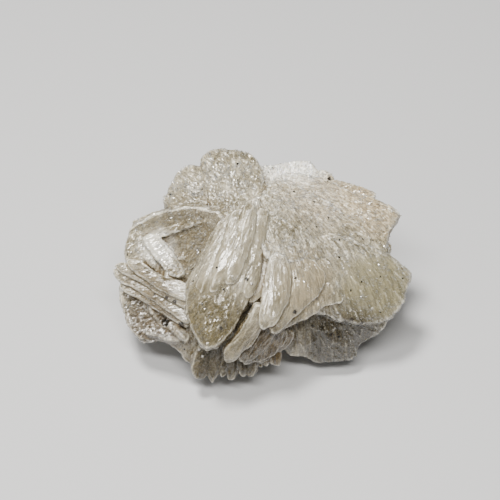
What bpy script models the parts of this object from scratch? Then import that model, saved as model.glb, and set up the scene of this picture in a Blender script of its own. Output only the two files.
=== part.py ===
"""Barite cluster: a rosette of tabular barite crystals that grew together into one piece.

Every crystal is a blade, a flat plate with a rounded outline and a chisel rim. Blades are
placed in the frame of the show face, the side that a collector turns to the front:
u runs right, v runs up across that face and w stands out of it, all in millimetres.
"""

import math
import random
from collections import namedtuple

import bmesh
import bpy
from mathutils import Matrix, Vector

MM = 0.001

# Driving dimensions, in millimetres and degrees.
LEAN_BACK = 40.0  # how far the show face is turned back from level
SHOW_PLACE = Vector((0.15, -0.84, 22.0))  # where the show frame's origin stands in the model

# The massive middle, in the model's axes.
HEART_CENTRE = Vector((-1.0, 1.0, 14.5))
HEART_RADII = Vector((22.0, 16.5, 17.5))
BASE_BLOCK = Vector((120.0, 120.0, 40.0))  # what is cut away under the base

RIM_POINTS = 12  # corners round a blade's outline
SQUARENESS = 2.5  # 2 is an ellipse, more is squarer
RIM_RAGGEDNESS = 0.07  # how far a corner strays, as a share of the half width
RIM_SLIP = 0.25  # how far a corner slips along the rim, as a share of its step
CHISEL = 0.45  # width of the bevel at the rim, in thicknesses
WIDEST_BEVEL = 0.5  # a bevel takes at most this share of the way to the middle

# Teeth of the bottom fringe: the u and v of each tip, and its width.
TEETH = [
    (-16.4, -28.2, 5.2), (-12.8, -28.7, 3.2), (-10.4, -27.6, 3.0), (-8.0, -28.1, 3.6),
    (-5.3, -28.0, 2.9), (-2.9, -27.7, 3.3), (-0.8, -25.1, 2.6), (0.9, -24.7, 2.5),
    (3.3, -25.0, 3.6),
]
TOOTH_LENGTH = 10.0
TOOTH_THICK = 2.2

# The rosette round the back: each row's height over the heart, and how many blades it has.
BACK_ROWS = [(-20.0, 11), (8.0, 9), (34.0, 6)]
BACK_START = 205.0  # where a row starts, counted from +X
BACK_SWEEP = 215.0  # how far round the back it goes
BACK_STRAY = 6.0  # how far a blade strays from its even place
BACK_CENTRE = Vector((-1.0, 1.0, 16.0))  # where its blades point away from
BACK_REACH = Vector((34.0, 25.0, 17.0))
BACK_LENGTHS = (0.92, 1.06)
BACK_WIDTHS = (11.0, 17.0)
BACK_THICKS = (3.0, 4.5)
BACK_ROOT = 0.35  # where a blade starts, as a share of its reach

SEED = 7

BARITE_COLOUR = (0.62, 0.60, 0.55, 1.0)
BARITE_ROUGHNESS = 0.35

# A blade grows from root to tip, its broad face looks along face, and bow is how far
# its middle stands out over its rim.
Blade = namedtuple("Blade", "root tip face width thick bow", defaults=(0.0,))

# A plate is a blade whose outline is given corner by corner, as u and v. It lies in the
# plane through middle that looks along face.
Plate = namedtuple("Plate", "outline middle face thick bow", defaults=(0.0,))


def show_frame():
    """Matrix from the show frame, in millimetres, to the model's frame, in metres."""
    stand = Matrix.Translation(SHOW_PLACE)
    turn = Matrix.Rotation(math.radians(LEAN_BACK), 4, "X")
    return Matrix.Scale(MM, 4) @ stand @ turn


def superellipse(angle):
    """A point of the unit superellipse, which a blade's outline is stretched from."""
    power = 2.0 / SQUARENESS
    cos, sin = math.cos(angle), math.sin(angle)
    return (
        math.copysign(abs(cos) ** power, cos),
        math.copysign(abs(sin) ** power, sin),
    )


def blade_rim(blade, rng):
    """Corners of a blade's rim in the show frame: a superellipse with ragged corners."""
    root, tip = Vector(blade.root), Vector(blade.tip)
    along = (tip - root) / 2
    face = Vector(blade.face)
    across = face.cross(along).normalized() * blade.width / 2
    step = 2 * math.pi / RIM_POINTS
    rim = []
    for corner in range(RIM_POINTS):
        x, y = superellipse((corner + rng.uniform(-RIM_SLIP, RIM_SLIP)) * step)
        ragged = 1 + rng.uniform(-RIM_RAGGEDNESS, RIM_RAGGEDNESS)
        rim.append((root + tip) / 2 + ragged * (x * along + y * across))
    return rim


def plate_rim(plate):
    """A plate's outline, dropped along w onto the plate's plane."""
    middle, face = Vector(plate.middle), Vector(plate.face)
    rim = []
    for u, v in plate.outline:
        slope = face.x * (u - middle.x) + face.y * (v - middle.y)
        rim.append(Vector((u, v, middle.z - slope / face.z)))
    return rim


def crystal_mesh(crystal, rng):
    """A squashed sphere with five levels: two face middles, two face edges and the rim."""
    rim = plate_rim(crystal) if isinstance(crystal, Plate) else blade_rim(crystal, rng)
    centre = sum(rim, Vector()) / len(rim)
    face = (rim[0] - centre).cross(rim[len(rim) // 3] - centre).normalized()
    if face.dot(Vector(crystal.face)) < 0:
        face.negate()
    step = 2 * math.pi / len(rim)
    bevel = CHISEL * crystal.thick
    bm = bmesh.new()
    bmesh.ops.create_uvsphere(bm, u_segments=len(rim), v_segments=4, radius=1.0)
    for vert in bm.verts:
        level = round(2 * vert.co.z)  # 2 and -2 at the poles, 0 at the rim
        side = (level > 0) - (level < 0)
        reach = 0.0
        spot = centre
        if abs(level) < 2:
            corner = round(math.atan2(vert.co.y, vert.co.x) / step) % len(rim)
            spoke = rim[corner] - centre
            reach = 1 - abs(side) * min(bevel / spoke.length, WIDEST_BEVEL)
            spot = centre + reach * spoke
        rise = side * crystal.thick / 2 + crystal.bow * (1 - reach**2)
        vert.co = spot + rise * face
    bm.transform(show_frame())
    bmesh.ops.recalc_face_normals(bm, faces=bm.faces)
    return bm


def right_plates():
    """Broad plates that fan out to the right, the lower ones behind the upper."""
    upper = [
        (4, 22.6), (11, 22.9), (17.7, 21), (23, 18.2), (28, 17), (34, 13.8), (34.6, 12),
        (32.5, 8.5), (30, 1), (20, -4), (6, -4), (0.5, 6), (-1, 16), (0, 19),
    ]
    step = [
        (0.8, 19.5), (5, 21), (12, 18.5), (19, 14.5), (25, 10), (27.5, 6), (25, 1), (14, -4),
        (5, -1), (1.5, 6), (0.5, 12),
    ]
    middle = [
        (15, 8.5), (21, 7.6), (26, 5.8), (31, 3.2), (36.5, -1), (37.5, -2.8), (36, -6.5),
        (35.2, -9.6), (31.2, -13.6), (25, -14.8), (16, -13), (8, -8), (6, -2), (8, 6),
    ]
    lower = [
        (31.4, -12.5), (28.2, -17), (24.7, -19.6), (23.8, -22), (22.6, -23.3), (17.7, -23.9),
        (13.2, -24.3), (10.5, -22.8), (5.8, -21.8), (3, -17), (6, -10), (14, -4), (24, -4),
    ]
    knob = [(31.5, 6), (32.3, 5), (32, 2.5), (28, 2), (28, 6)]
    saddle = [
        (-1.5, 16), (5, 18), (10, 15.5), (14, 11), (16, 6), (15.5, 2), (12, 0.5), (7, 0),
        (2, 0.5), (-1.5, 4),
    ]
    return [
        Plate(upper, (16, 10, 1.5), (0.08, 0.25, 0.96), 4.5, 1.5),
        Plate(step, (12, 9, 5.2), (0.13, 0.18, 0.97), 3.2, 1.0),
        Plate(middle, (23, -3.5, 4), (0.17, -0.06, 0.98), 5, 1.5),
        Plate(lower, (17, -15.5, 0), (0.1, -0.35, 0.93), 4.5, 1.0),
        Plate(knob, (30, 4, -1), (0.2, 0.1, 0.97), 3),
        Plate(saddle, (7, 7, 8.6), (0.35, 0.37, 0.86), 4, 1.3),
    ]


def top_right_plates():
    """Thin white plates that show over the upper right edge."""
    widest = [
        (-1, 24.6), (4.7, 25.8), (8.7, 26.7), (12.5, 26.5), (14, 24), (14, 21), (6, 19), (0, 19),
    ]
    small = [(13, 24), (16.7, 24), (18, 22.6), (18, 20), (13, 19)]
    layered = [(17, 21.8), (23.7, 20.2), (27.7, 18.9), (28.5, 17), (24, 15), (16, 17)]
    return [
        Plate(widest, (7, 23, -5), (0.0, 0.35, 0.94), 3.5),
        Plate(small, (15, 22, -5), (0.1, 0.3, 0.95), 3),
        Plate(layered, (22, 18, -3.5), (0.1, 0.4, 0.9), 3),
    ]


def top_plates():
    """Upright plates along the top and the upper left."""
    crown = [
        (-16.3, 25.4), (-14.8, 28.3), (-12.8, 29), (-8.8, 29.1), (-6, 28.9), (-2.8, 27.3),
        (-0.3, 24.6), (0.5, 18), (-3.5, 10), (-11, 10), (-14.5, 17),
    ]
    shoulder = [
        (-16.8, 25.6), (-19.8, 24.7), (-22, 23.4), (-23.7, 20.1), (-24.5, 18), (-25.3, 15.6),
        (-22, 12), (-12, 11), (-10, 17), (-13.5, 23),
    ]
    return [
        Plate(crown, (-8, 21, -1), (0.0, 0.45, 0.89), 4.5, 1.0),
        Plate(shoulder, (-18, 19, -2), (-0.2, 0.35, 0.92), 4.5, 0.8),
        Blade((-1, 11, 6), (-3.7, 25, -3), (0.3, 0.4, 0.86), 7, 3),
    ]


def hollow_plates():
    """Plates that line the hollow on the left, with one bright blade standing in it."""
    lining = [
        (-26.5, 13.8), (-29.3, 12.4), (-32.5, 10.6), (-33.7, 8.6), (-34.3, 6), (-34.7, 3.4),
        (-33.8, 0), (-26, -2), (-18, -1), (-12, 3), (-8, 10), (-10, 14), (-18, 15.5),
    ]
    lobe = [
        (-33.5, 8.6), (-31.3, 9), (-29.5, 7), (-29, 3), (-30, -1), (-33.5, 0), (-35, 3.4),
        (-34.6, 6),
    ]
    return [
        Plate(lining, (-22, 6, 3), (-0.3, -0.18, 0.93), 5, -1.5),
        Blade((-13.5, 15.5, 4), (-33, 10.4, -1), (-0.1, 0.35, 0.93), 3.4, 2),
        Plate(lobe, (-32, 4, 1.5), (-0.25, 0.0, 0.97), 3, 0.6),
        Blade((-11, 13, 8.9), (-29.5, 7, 2.6), (-0.25, 0.1, 0.95), 2.6, 1.8),
        Blade((-20.3, -2.8, 6.8), (-29.2, 7.8, 4), (-0.13, 0.35, 0.93), 4.6, 2.4),
        Blade((-22, -3.5, 4.6), (-30, 4.4, 3.4), (-0.3, 0.3, 0.9), 4.5, 1.6),
        Blade((-23, -3.5, 3.6), (-30.5, 2, 2.6), (-0.3, 0.3, 0.9), 4.5, 1.4),
    ]


def middle_tongue():
    """The long bowed crystal that stands out furthest, with ridges along its upper half."""
    body = [
        (-2, 17), (0, 14), (1, 9), (0.5, 4), (-0.8, -0.5), (-1.8, -5), (-3.5, -9.3), (-5, -11.8),
        (-7, -15.5), (-8.6, -17.5), (-11, -19.8), (-13.3, -20.5), (-15.3, -19.8), (-17.5, -15.5),
        (-19.3, -11), (-18.3, -5.5), (-16.8, -2.5), (-14.3, 1), (-12.8, 6), (-11, 9), (-7, 14),
    ]
    ridges = [
        ((-9.4, 9.5, 10.4), (-18.2, -8.5, 11.9), -0.6, 5.0),
        ((-7.6, 12.5, 11.6), (-15.6, -6.4, 15.2), -0.4, 5.2),
        ((-5.2, 14.5, 12), (-12.2, -6.4, 16.2), -0.12, 5.4),
        ((-2.8, 15.5, 12), (-8.6, -5.2, 16.5), 0.14, 5.4),
        ((-0.4, 15, 11), (-4.6, -8.8, 14.6), 0.42, 5.4),
    ]
    blades = [Plate(body, (-9, -2, 11.5), (0, 0.12, 0.99), 6, 2.6)]
    for root, tip, turn, width in ridges:
        blades.append(Blade(root, tip, (turn, 0.0, 1.0), width, 3.4, 1.2))
    blades.append(Blade((-12.5, -8, 14.5), (-13.8, -20.7, 12.5), (-0.2, -0.2, 1), 5.5, 3, 1.2))
    return blades


def petal_stack():
    """Overlapping petals right of the tongue, each under the one before it."""
    first = [
        (2.2, 3.2), (4.6, 3), (6.3, 0.8), (6.9, -2.3), (6.6, -6.1), (5.3, -9.9), (3, -13.7),
        (1.1, -14.9), (-0.4, -15.4), (-1.2, -14), (-1, -10), (-0.2, -5), (0.8, 0),
    ]
    second = [
        (6, 2.5), (9, 3.2), (12, 1.8), (13.8, 0), (15.1, -2.3), (14.5, -5.4), (12.2, -8.6),
        (7.5, -12.4), (3.7, -15.9), (1.6, -16), (1.5, -11), (3.5, -4),
    ]
    third = [
        (14.2, -1), (15.8, -3.8), (16.2, -6.1), (15.8, -8.9), (13.9, -10.8), (10.6, -13),
        (5.9, -14.9), (2.7, -16.6), (3, -13), (9, -6),
    ]
    fourth = [
        (11.8, 5), (15.8, 4), (18.4, 1), (20.3, -2.6), (19.8, -8), (18.3, -9.7), (16, -10),
        (11, -11), (9, -8), (9, 0),
    ]
    bed = [
        (2, 1), (8, 2), (12.5, 0), (14, -4), (11, -9), (5, -13), (0.5, -14), (-1, -8), (0, -2),
    ]
    seam = [
        (0, 9), (2.2, 6), (2.6, 1), (0.8, -5), (-1.4, -8.6), (-3.8, -8.6), (-2.8, -3), (-1.4, 4),
    ]
    return [
        Plate(first, (3, -6, 15.4), (0.22, 0.12, 0.97), 1.8, 0.7),
        Plate(second, (8.5, -6, 12.3), (0.27, 0.08, 0.96), 1.8, 0.7),
        Plate(third, (12, -9, 9.9), (0.3, 0.0, 0.95), 1.8, 0.5),
        Plate(fourth, (15, -3.5, 7.3), (0.22, 0.05, 0.97), 4, 0.8),
        Plate(bed, (6, -6, 10.4), (0.3, 0.05, 0.95), 5.4),
        Plate(seam, (-0.5, 0.5, 12.2), (-0.12, 0.16, 0.98), 2.4, 0.4),
    ]


def lower_lenses():
    """Small lens-shaped blades under the petals, stepping back to the right."""
    largest = [
        (-2, -9), (-3.3, -11.1), (-6.8, -16.5), (-9.5, -19.7), (-9.9, -21.5), (-9.4, -22.9),
        (-8.7, -23.4), (-6.8, -22.5), (-5.2, -20.6), (-2.7, -18.7), (-1, -15.9), (-0.2, -12),
        (0, -9.5),
    ]
    olive = [
        (2.6, -15.5), (2.4, -17.4), (0.5, -20), (-2, -22.5), (-4.2, -23.4), (-6, -23.2),
        (-6, -20), (-3, -15.5), (0, -12.5),
    ]
    long = [
        (5.8, -16), (5.3, -18.7), (2.7, -21), (-0.8, -22.9), (-3.9, -24.1), (-5, -23.5),
        (-2.5, -19), (2, -14),
    ]
    lowest = [
        (7.4, -16), (6.7, -18.9), (3.8, -21.7), (0.8, -23.4), (-1.5, -23.8), (-0.5, -20),
        (3, -15),
    ]
    bed = [
        (-5, -21.5), (-7, -17), (-3, -12), (3, -12), (4.5, -14.5), (3.7, -18), (2.5, -20.8),
        (0.5, -21.8), (-2.5, -23),
    ]
    return [
        Plate(largest, (-5, -17, 13.8), (0.15, -0.33, 0.93), 2.2, 0.5),
        Plate(olive, (-2, -18.5, 11), (0.26, -0.38, 0.89), 1.8, 0.3),
        Plate(long, (1, -19.5, 8.4), (0.28, -0.4, 0.87), 1.8, 0.3),
        Plate(lowest, (3, -19.5, 6.4), (0.3, -0.45, 0.84), 1.8, 0.3),
        Plate(bed, (0, -18, 6.8), (0.28, -0.4, 0.87), 6.8),
    ]


def left_bundle():
    """Parallel plates that run out to the left tip, each one under the plate above it."""
    outlines = [
        [
            (-34, 1.1), (-31, 1.2), (-28, -0.8), (-25, -2.4), (-20.5, -3.8), (-16.5, -6.5),
            (-16, -10), (-24, -7), (-29, -4), (-33, -1),
        ],
        [
            (-37.2, -0.2), (-36.4, 0.6), (-34, 0.4), (-26, -3.6), (-16, -8), (-16, -12),
            (-24, -8.4), (-30, -4.8), (-35.4, -2),
        ],
        [
            (-37.8, -1.6), (-36.4, -1.1), (-28, -4.5), (-16, -11), (-18.5, -14.4), (-22, -12.6),
            (-28.6, -8.2), (-32.8, -5.6), (-35.8, -4.3),
        ],
        [
            (-36, -5), (-34, -3.5), (-26, -8), (-18, -12), (-19, -15.4), (-26, -11.6),
            (-30.3, -8.8), (-33.4, -7.4), (-35.4, -6.2),
        ],
    ]
    plates = []
    for number, outline in enumerate(outlines):
        middle = (-27, -6, 6.8 - 1.1 * number)
        plates.append(Plate(outline, middle, (-0.12, 0.28, 0.95), 2.2, 0.3))
    bed = [(-31, -3), (-26, -4), (-18, -7), (-17, -12), (-20, -14), (-27, -9.5), (-31, -6.5)]
    plates.append(Plate(bed, (-27, -6, 2.8), (-0.12, 0.28, 0.95), 5))
    return plates


def lower_left_plates():
    """Plates and small blades under the left bundle."""
    outer = [
        (-36.6, -5.4), (-36, -9.7), (-34.2, -15.2), (-31.4, -18.4), (-28.3, -19.3), (-25.5, -18.5),
        (-18, -17), (-17, -12), (-26, -7), (-33, -4.5),
    ]
    under = [
        (-26, -17.4), (-23.2, -19.2), (-21, -21.3), (-18.9, -23.6), (-16, -25), (-12, -22),
        (-13, -15), (-21, -15),
    ]
    return [
        Plate(outer, (-28, -13, 1), (-0.15, 0.2, 0.97), 3.5),
        Plate(under, (-19, -20.5, 2.5), (-0.2, -0.35, 0.91), 4),
        Blade((-19.3, -18.2, 5.5), (-29.8, -15.9, 4), (0, 0.5, 0.86), 3.6, 2.2),
        Blade((-18.5, -18.4, 7), (-23.4, -14.2, 6.5), (0.1, 0.3, 0.95), 2.8, 1.8),
    ]


def bottom_fringe():
    """A row of small blades that hang below the show face, like teeth of a comb."""
    blades = []
    for number, (u, v, width) in enumerate(TEETH):
        side = (-1) ** number
        root = (0.8 * u - 1.2, v + TOOTH_LENGTH, 6.0)
        tip = (u, v, 3.75 + 0.25 * side)
        blades.append(Blade(root, tip, (0.25 * side, -0.3, 0.9), width, TOOTH_THICK, 0.3))
    return blades


def back_rosette(rng):
    """Blades that radiate behind and below, where the show face doesn't reach."""
    directions = []
    for height, count in BACK_ROWS:
        for number in range(count):
            even = BACK_START - BACK_SWEEP * number / (count - 1)
            turn = math.radians(even + rng.uniform(-BACK_STRAY, BACK_STRAY))
            rise = math.radians(height + rng.uniform(-BACK_STRAY, BACK_STRAY))
            out = Vector((math.cos(turn), math.sin(turn), 0.0)) * math.cos(rise)
            out.z = math.sin(rise)
            directions.append(out)
    to_show = show_frame().inverted()
    blades = []
    for out in directions:
        reach = rng.uniform(*BACK_LENGTHS) * out * BACK_REACH
        root = to_show @ ((BACK_CENTRE + BACK_ROOT * reach) * MM)
        tip = to_show @ ((BACK_CENTRE + reach) * MM)
        face = to_show.to_3x3() @ Vector((-out.y, out.x, rng.uniform(0.9, 1.4)))
        blades.append(Blade(root, tip, face, rng.uniform(*BACK_WIDTHS), rng.uniform(*BACK_THICKS)))
    return blades


def all_crystals(rng):
    """Every crystal of the cluster, which the heart holds together."""
    return [
        *right_plates(),
        *top_right_plates(),
        *top_plates(),
        *hollow_plates(),
        *middle_tongue(),
        *petal_stack(),
        *lower_lenses(),
        *left_bundle(),
        *lower_left_plates(),
        *bottom_fringe(),
        *back_rosette(rng),
    ]


def barite_material():
    """Pale grey-white barite."""
    material = bpy.data.materials.new("barite")
    material.use_nodes = True
    surface = material.node_tree.nodes["Principled BSDF"]
    surface.inputs["Base Color"].default_value = BARITE_COLOUR
    surface.inputs["Roughness"].default_value = BARITE_ROUGHNESS
    material.diffuse_color = BARITE_COLOUR
    return material


def add_object(name, bm, collection):
    """A mesh object made from a bmesh."""
    mesh = bpy.data.meshes.new(name)
    bm.to_mesh(mesh)
    bm.free()
    obj = bpy.data.objects.new(name, mesh)
    collection.objects.link(obj)
    return obj


def as_helper(obj):
    """Shows a shape that only feeds a Boolean as wires, and keeps it out of the part."""
    obj.hide_render = True
    obj.display_type = "WIRE"


def heart():
    """The massive middle that the blades grow from."""
    bm = bmesh.new()
    bmesh.ops.create_icosphere(bm, subdivisions=2, radius=1.0)
    size = Matrix.Diagonal((*HEART_RADII, 1.0))
    bm.transform(Matrix.Scale(MM, 4) @ Matrix.Translation(HEART_CENTRE) @ size)
    return bm


def broken_base():
    """What is cut away below z = 0, where the cluster broke off its rock."""
    bm = bmesh.new()
    bmesh.ops.create_cube(bm, size=1.0, matrix=Matrix.Diagonal((*BASE_BLOCK, 1.0)))
    bm.transform(Matrix.Scale(MM, 4) @ Matrix.Translation((0, 0, -BASE_BLOCK.z / 2)))
    return bm


def main():
    """Grows every crystal onto the heart and cuts the base flat."""
    for obj in list(bpy.data.objects):
        bpy.data.objects.remove(obj, do_unlink=True)
    scene = bpy.context.scene.collection
    crystals = bpy.data.collections.new("crystals")
    scene.children.link(crystals)
    rng = random.Random(SEED)
    for number, crystal in enumerate(all_crystals(rng)):
        as_helper(add_object(f"crystal_{number:02d}", crystal_mesh(crystal, rng), crystals))

    cluster = add_object("barite_cluster", heart(), scene)
    cluster.data.materials.append(barite_material())
    grown = cluster.modifiers.new("crystals", "BOOLEAN")
    grown.operation = "UNION"
    grown.operand_type = "COLLECTION"
    grown.collection = crystals
    grown.solver = "EXACT"
    base = add_object("broken_base", broken_base(), scene)
    as_helper(base)
    cut = cluster.modifiers.new("base", "BOOLEAN")
    cut.operation = "DIFFERENCE"
    cut.object = base
    cut.solver = "EXACT"


main()
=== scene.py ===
# %% [markdown]
# # Barite cluster
# This object is a rosette of barite, a heavy and soft mineral that likes to grow as flat
# plates. Dozens of plates grew out of one middle, and a sugar of much smaller crystals
# settled on them later. The cluster broke off its rock underneath, where it now rests.
#
# The frame of the finished solid is loaded first. Its box is kept, because no crystal may
# grow past it. Lengths are written in millimetres, as a collector measures a specimen, and
# are turned into metres where Blender takes them.

# %% Load the frame
import math
import random
import time
from collections import namedtuple

import bmesh
import bpy
import numpy as np
from mathutils import Matrix, Vector, noise
from mathutils.bvhtree import BVHTree


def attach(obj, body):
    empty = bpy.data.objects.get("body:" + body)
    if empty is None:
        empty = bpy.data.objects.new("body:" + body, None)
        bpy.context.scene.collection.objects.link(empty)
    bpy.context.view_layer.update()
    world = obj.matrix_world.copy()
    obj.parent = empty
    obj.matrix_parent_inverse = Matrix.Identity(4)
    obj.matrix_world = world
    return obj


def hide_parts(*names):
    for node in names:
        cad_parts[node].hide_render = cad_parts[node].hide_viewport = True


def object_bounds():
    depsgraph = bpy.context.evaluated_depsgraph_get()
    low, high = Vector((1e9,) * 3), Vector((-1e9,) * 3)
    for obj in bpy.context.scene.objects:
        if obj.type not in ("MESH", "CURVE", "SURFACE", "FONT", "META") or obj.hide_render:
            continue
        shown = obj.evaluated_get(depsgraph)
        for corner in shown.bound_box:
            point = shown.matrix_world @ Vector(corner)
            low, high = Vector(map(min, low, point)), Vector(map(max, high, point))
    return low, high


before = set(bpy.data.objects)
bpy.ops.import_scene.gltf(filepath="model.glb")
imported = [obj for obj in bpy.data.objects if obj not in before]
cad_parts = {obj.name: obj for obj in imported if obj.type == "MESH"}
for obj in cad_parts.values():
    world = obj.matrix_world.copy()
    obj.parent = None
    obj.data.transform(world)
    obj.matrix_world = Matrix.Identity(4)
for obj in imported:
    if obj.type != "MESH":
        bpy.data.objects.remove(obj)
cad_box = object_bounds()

MM = 0.001
started = time.time()


def clock():
    """Seconds since the start, as a note for a print."""
    return f"at {time.time() - started:.1f} s"


print("box in mm:", [[round(x / MM, 1) for x in corner] for corner in cad_box])

# %% [markdown]
# ## The show face
# A collector turns one side of a specimen to the front. That side leans back, and the
# plates on it are easiest to place in its own frame: u runs right, v runs up across it
# and w stands out of it. The model's x, y and z could be worked out plate by plate, but
# one matrix does it for all of them, and the lean stays one number.

# %% Show frame
LEAN_BACK = 40.0
SHOW_PLACE = Vector((0.15, -0.84, 22.0))

SHOW = (
    Matrix.Scale(MM, 4)
    @ Matrix.Translation(SHOW_PLACE)
    @ Matrix.Rotation(math.radians(LEAN_BACK), 4, "X")
)
OUT = (SHOW.to_3x3() @ Vector((0, 0, 1))).normalized()
print("the show face looks along", [round(x, 2) for x in OUT])

# %% [markdown]
# ## A blade's outline
# Most small barite crystals are blades, with nearly straight sides and a blunt tip. A
# rectangle would look sawn, and an ellipse would look like a seed. A superellipse lies
# between the two, and one number sets how square it is. Each corner of it strays a
# little, because no two blades grow alike. The strays come from a seeded generator, so
# the same blades grow each time.

# %% Blades
RIM_POINTS = 12
SQUARENESS = 2.5
RIM_RAGGEDNESS = 0.07
RIM_SLIP = 0.25

Blade = namedtuple("Blade", "root tip face width thick bow", defaults=(0.0,))
blade_rng = random.Random(7)


def superellipse(angle):
    """A point of the unit superellipse."""
    power = 2.0 / SQUARENESS
    cos, sin = math.cos(angle), math.sin(angle)
    return math.copysign(abs(cos) ** power, cos), math.copysign(abs(sin) ** power, sin)


def blade_rim(blade):
    """A blade's corners: a superellipse from root to tip, with ragged corners."""
    root, tip = Vector(blade.root), Vector(blade.tip)
    along = (tip - root) / 2
    across = Vector(blade.face).cross(along).normalized() * blade.width / 2
    step = 2 * math.pi / RIM_POINTS
    rim = []
    for corner in range(RIM_POINTS):
        x, y = superellipse((corner + blade_rng.uniform(-RIM_SLIP, RIM_SLIP)) * step)
        ragged = 1 + blade_rng.uniform(-RIM_RAGGEDNESS, RIM_RAGGEDNESS)
        rim.append((root + tip) / 2 + ragged * (x * along + y * across))
    return rim


print("a blade's outline at 45 degrees:", [round(x, 2) for x in superellipse(math.pi / 4)])

# %% [markdown]
# ## A plate's outline
# A broad plate has an outline of its own, with lobes and notches. It is drawn flat, as a
# few corners in u and v. The plate itself leans, so every corner is then dropped along w
# until it lies on the plate's face. Corners with three numbers each would do as well, but
# then a plate couldn't be leaned another way without moving every corner of it.

# %% Plates
Plate = namedtuple("Plate", "outline middle face thick bow", defaults=(0.0,))


def plate_rim(plate):
    """A plate's corners, dropped along w onto the plate's face."""
    middle, face = Vector(plate.middle), Vector(plate.face)
    rim = []
    for u, v in plate.outline:
        slope = face.x * (u - middle.x) + face.y * (v - middle.y)
        rim.append(Vector((u, v, middle.z - slope / face.z)))
    return rim


def crystal_rim(crystal):
    """A crystal's corners, counter-clockwise about its face, with its face's direction."""
    rim = plate_rim(crystal) if isinstance(crystal, Plate) else blade_rim(crystal)
    centre = sum(rim, Vector()) / len(rim)
    face = (rim[0] - centre).cross(rim[len(rim) // 3] - centre).normalized()
    if face.dot(Vector(crystal.face)) < 0:
        face.negate()
        rim.reverse()
    return np.array(rim), np.array(face)


sample = Plate([(-5, -5), (5, -5), (5, 5), (-5, 5)], (0, 0, 0), (0.0, 0.6, 0.8), 2)
print("a square that leans has corners at w", [round(corner.z, 2) for corner in plate_rim(sample)])

# %% [markdown]
# ## A rim without corners
# No corner of a list should show as a corner of the crystal. A Catmull-Rom curve passes
# through every corner and turns smoothly there, while a Bezier curve would need two
# handles at each. The curve is then cut into even steps, because the scallops that come
# next need points that lie equally close all the way round.

# %% Smooth curve
RIM_SPACING = 0.45
CURVE_PARTS = 12  # fine steps between two corners
LEAST_POINTS = 24


def smooth_curve(corners, spacing):
    """A closed curve through the corners, as evenly spaced points."""
    count = len(corners)
    place = np.arange(count * CURVE_PARTS) / CURVE_PARTS
    start = place.astype(int)
    part = (place - start)[:, None]
    a, b, c, d = (corners[(start + shift) % count] for shift in (-1, 0, 1, 2))
    curve = 0.5 * (
        2 * b
        + (c - a) * part
        + (2 * a - 5 * b + 4 * c - d) * part**2
        + (3 * b - 3 * c + d - a) * part**3
    )
    closed = np.vstack([curve, curve[:1]])
    travel = np.concatenate([[0], np.cumsum(np.linalg.norm(np.diff(closed, axis=0), axis=1))])
    points = max(LEAST_POINTS, int(travel[-1] / spacing))
    stops = np.linspace(0, travel[-1], points, endpoint=False)
    return np.stack([np.interp(stops, travel, closed[:, axis]) for axis in range(3)], axis=1)


sample_rim, _ = crystal_rim(sample)
print("the same square, smoothed:", len(smooth_curve(sample_rim, RIM_SPACING)), "points")

# %% [markdown]
# ## Growth steps
# Under a lens a barite face climbs from its rim to its middle in a few low steps, where
# growth paused. A Bevel modifier would round the rim alone. So the section of a crystal
# is written down ring by ring: how far in from the rim a ring lies, and how high. The
# first four rings are the bevelled rim, and each pair after them is one step.

# %% Section of a sheet
BEVEL_RINGS = (0.0, 0.2, 0.5, 1.0)  # shares of the bevel's width
BEVEL_HEIGHTS = (0.0, 0.45, 0.7, 0.78)  # shares of half the thickness
CLIMB = 0.22  # the share of half the thickness that the steps climb
FEWEST_STEPS, MOST_STEPS = 2, 4
FIRST_STEP, LAST_STEP = 1.5, 2.0  # the least distance from the rim, in bevels
STEP_LIP = 0.05  # how far before its place a step starts
STEP_FOOT = 0.25  # how far after its place it ends
STEP_EDGE = 0.01
INNERMOST = 3.0  # half-widths in, where the middle is as good as reached

sheet_rng = random.Random(11)


def growth_profile(half_thick, bevel, half_width):
    """Distance in from the rim and height of each ring, from the rim to the middle."""
    inward = [share * bevel for share in BEVEL_RINGS]
    height = list(BEVEL_HEIGHTS)
    shoulder = BEVEL_HEIGHTS[-1]
    steps = sheet_rng.randint(FEWEST_STEPS, MOST_STEPS)
    last = max(LAST_STEP * bevel, half_width)
    places = sorted(sheet_rng.uniform(FIRST_STEP * bevel, last) for _ in range(steps))
    for number, place in enumerate(places):
        before = shoulder + CLIMB * number / steps
        after = shoulder + CLIMB * (number + 1) / steps
        inward += [place - STEP_LIP, place + STEP_FOOT]
        height += [before + STEP_EDGE, after]
    inward.append(INNERMOST * half_width)
    height.append(1.0)
    return np.maximum.accumulate(np.array(inward)), np.array(height) * half_thick


print("a sheet has", FEWEST_STEPS, "to", MOST_STEPS, "growth steps")

# %% [markdown]
# ## Scallops
# The rim of a plate is scalloped, as if small bites had been taken out of it. Random
# numbers at every point would make it a saw. Smooth noise gives bites of a chosen length
# instead, and a shift by the sheet's own seed gives every sheet other ones.

# %% Smooth noise
SEED_SHIFT = (7.31, 3.17, 5.53)
NOISE_GAIN = 1.6  # Perlin noise alone stays within about 0.6


def wander(points, scale, seed):
    """Smooth noise between about -1 and 1 at each point."""
    shift = Vector([seed * part for part in SEED_SHIFT])
    return np.array([noise.noise(Vector(p) / scale + shift) for p in points]) * NOISE_GAIN


SCALLOP = 0.22
SCALLOP_LENGTH = 2.2
SMALL_SCALLOP = 0.5  # next to a large one
SMALL_SCALLOP_LENGTH = 0.9


def scalloped(spokes, rim, seed):
    """Spokes from a sheet's centre to its rim, made longer and shorter, and their lengths."""
    length = np.linalg.norm(spokes, axis=1)
    bites = wander(rim, SCALLOP_LENGTH, seed)
    bites = bites + SMALL_SCALLOP * wander(rim, SMALL_SCALLOP_LENGTH, seed)
    scallop = 1 + SCALLOP * bites / length
    return spokes * scallop[:, None], length * scallop


print("a sample rim wanders by", np.round(wander(sample_rim, SCALLOP_LENGTH, 1.0), 2))

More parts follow.
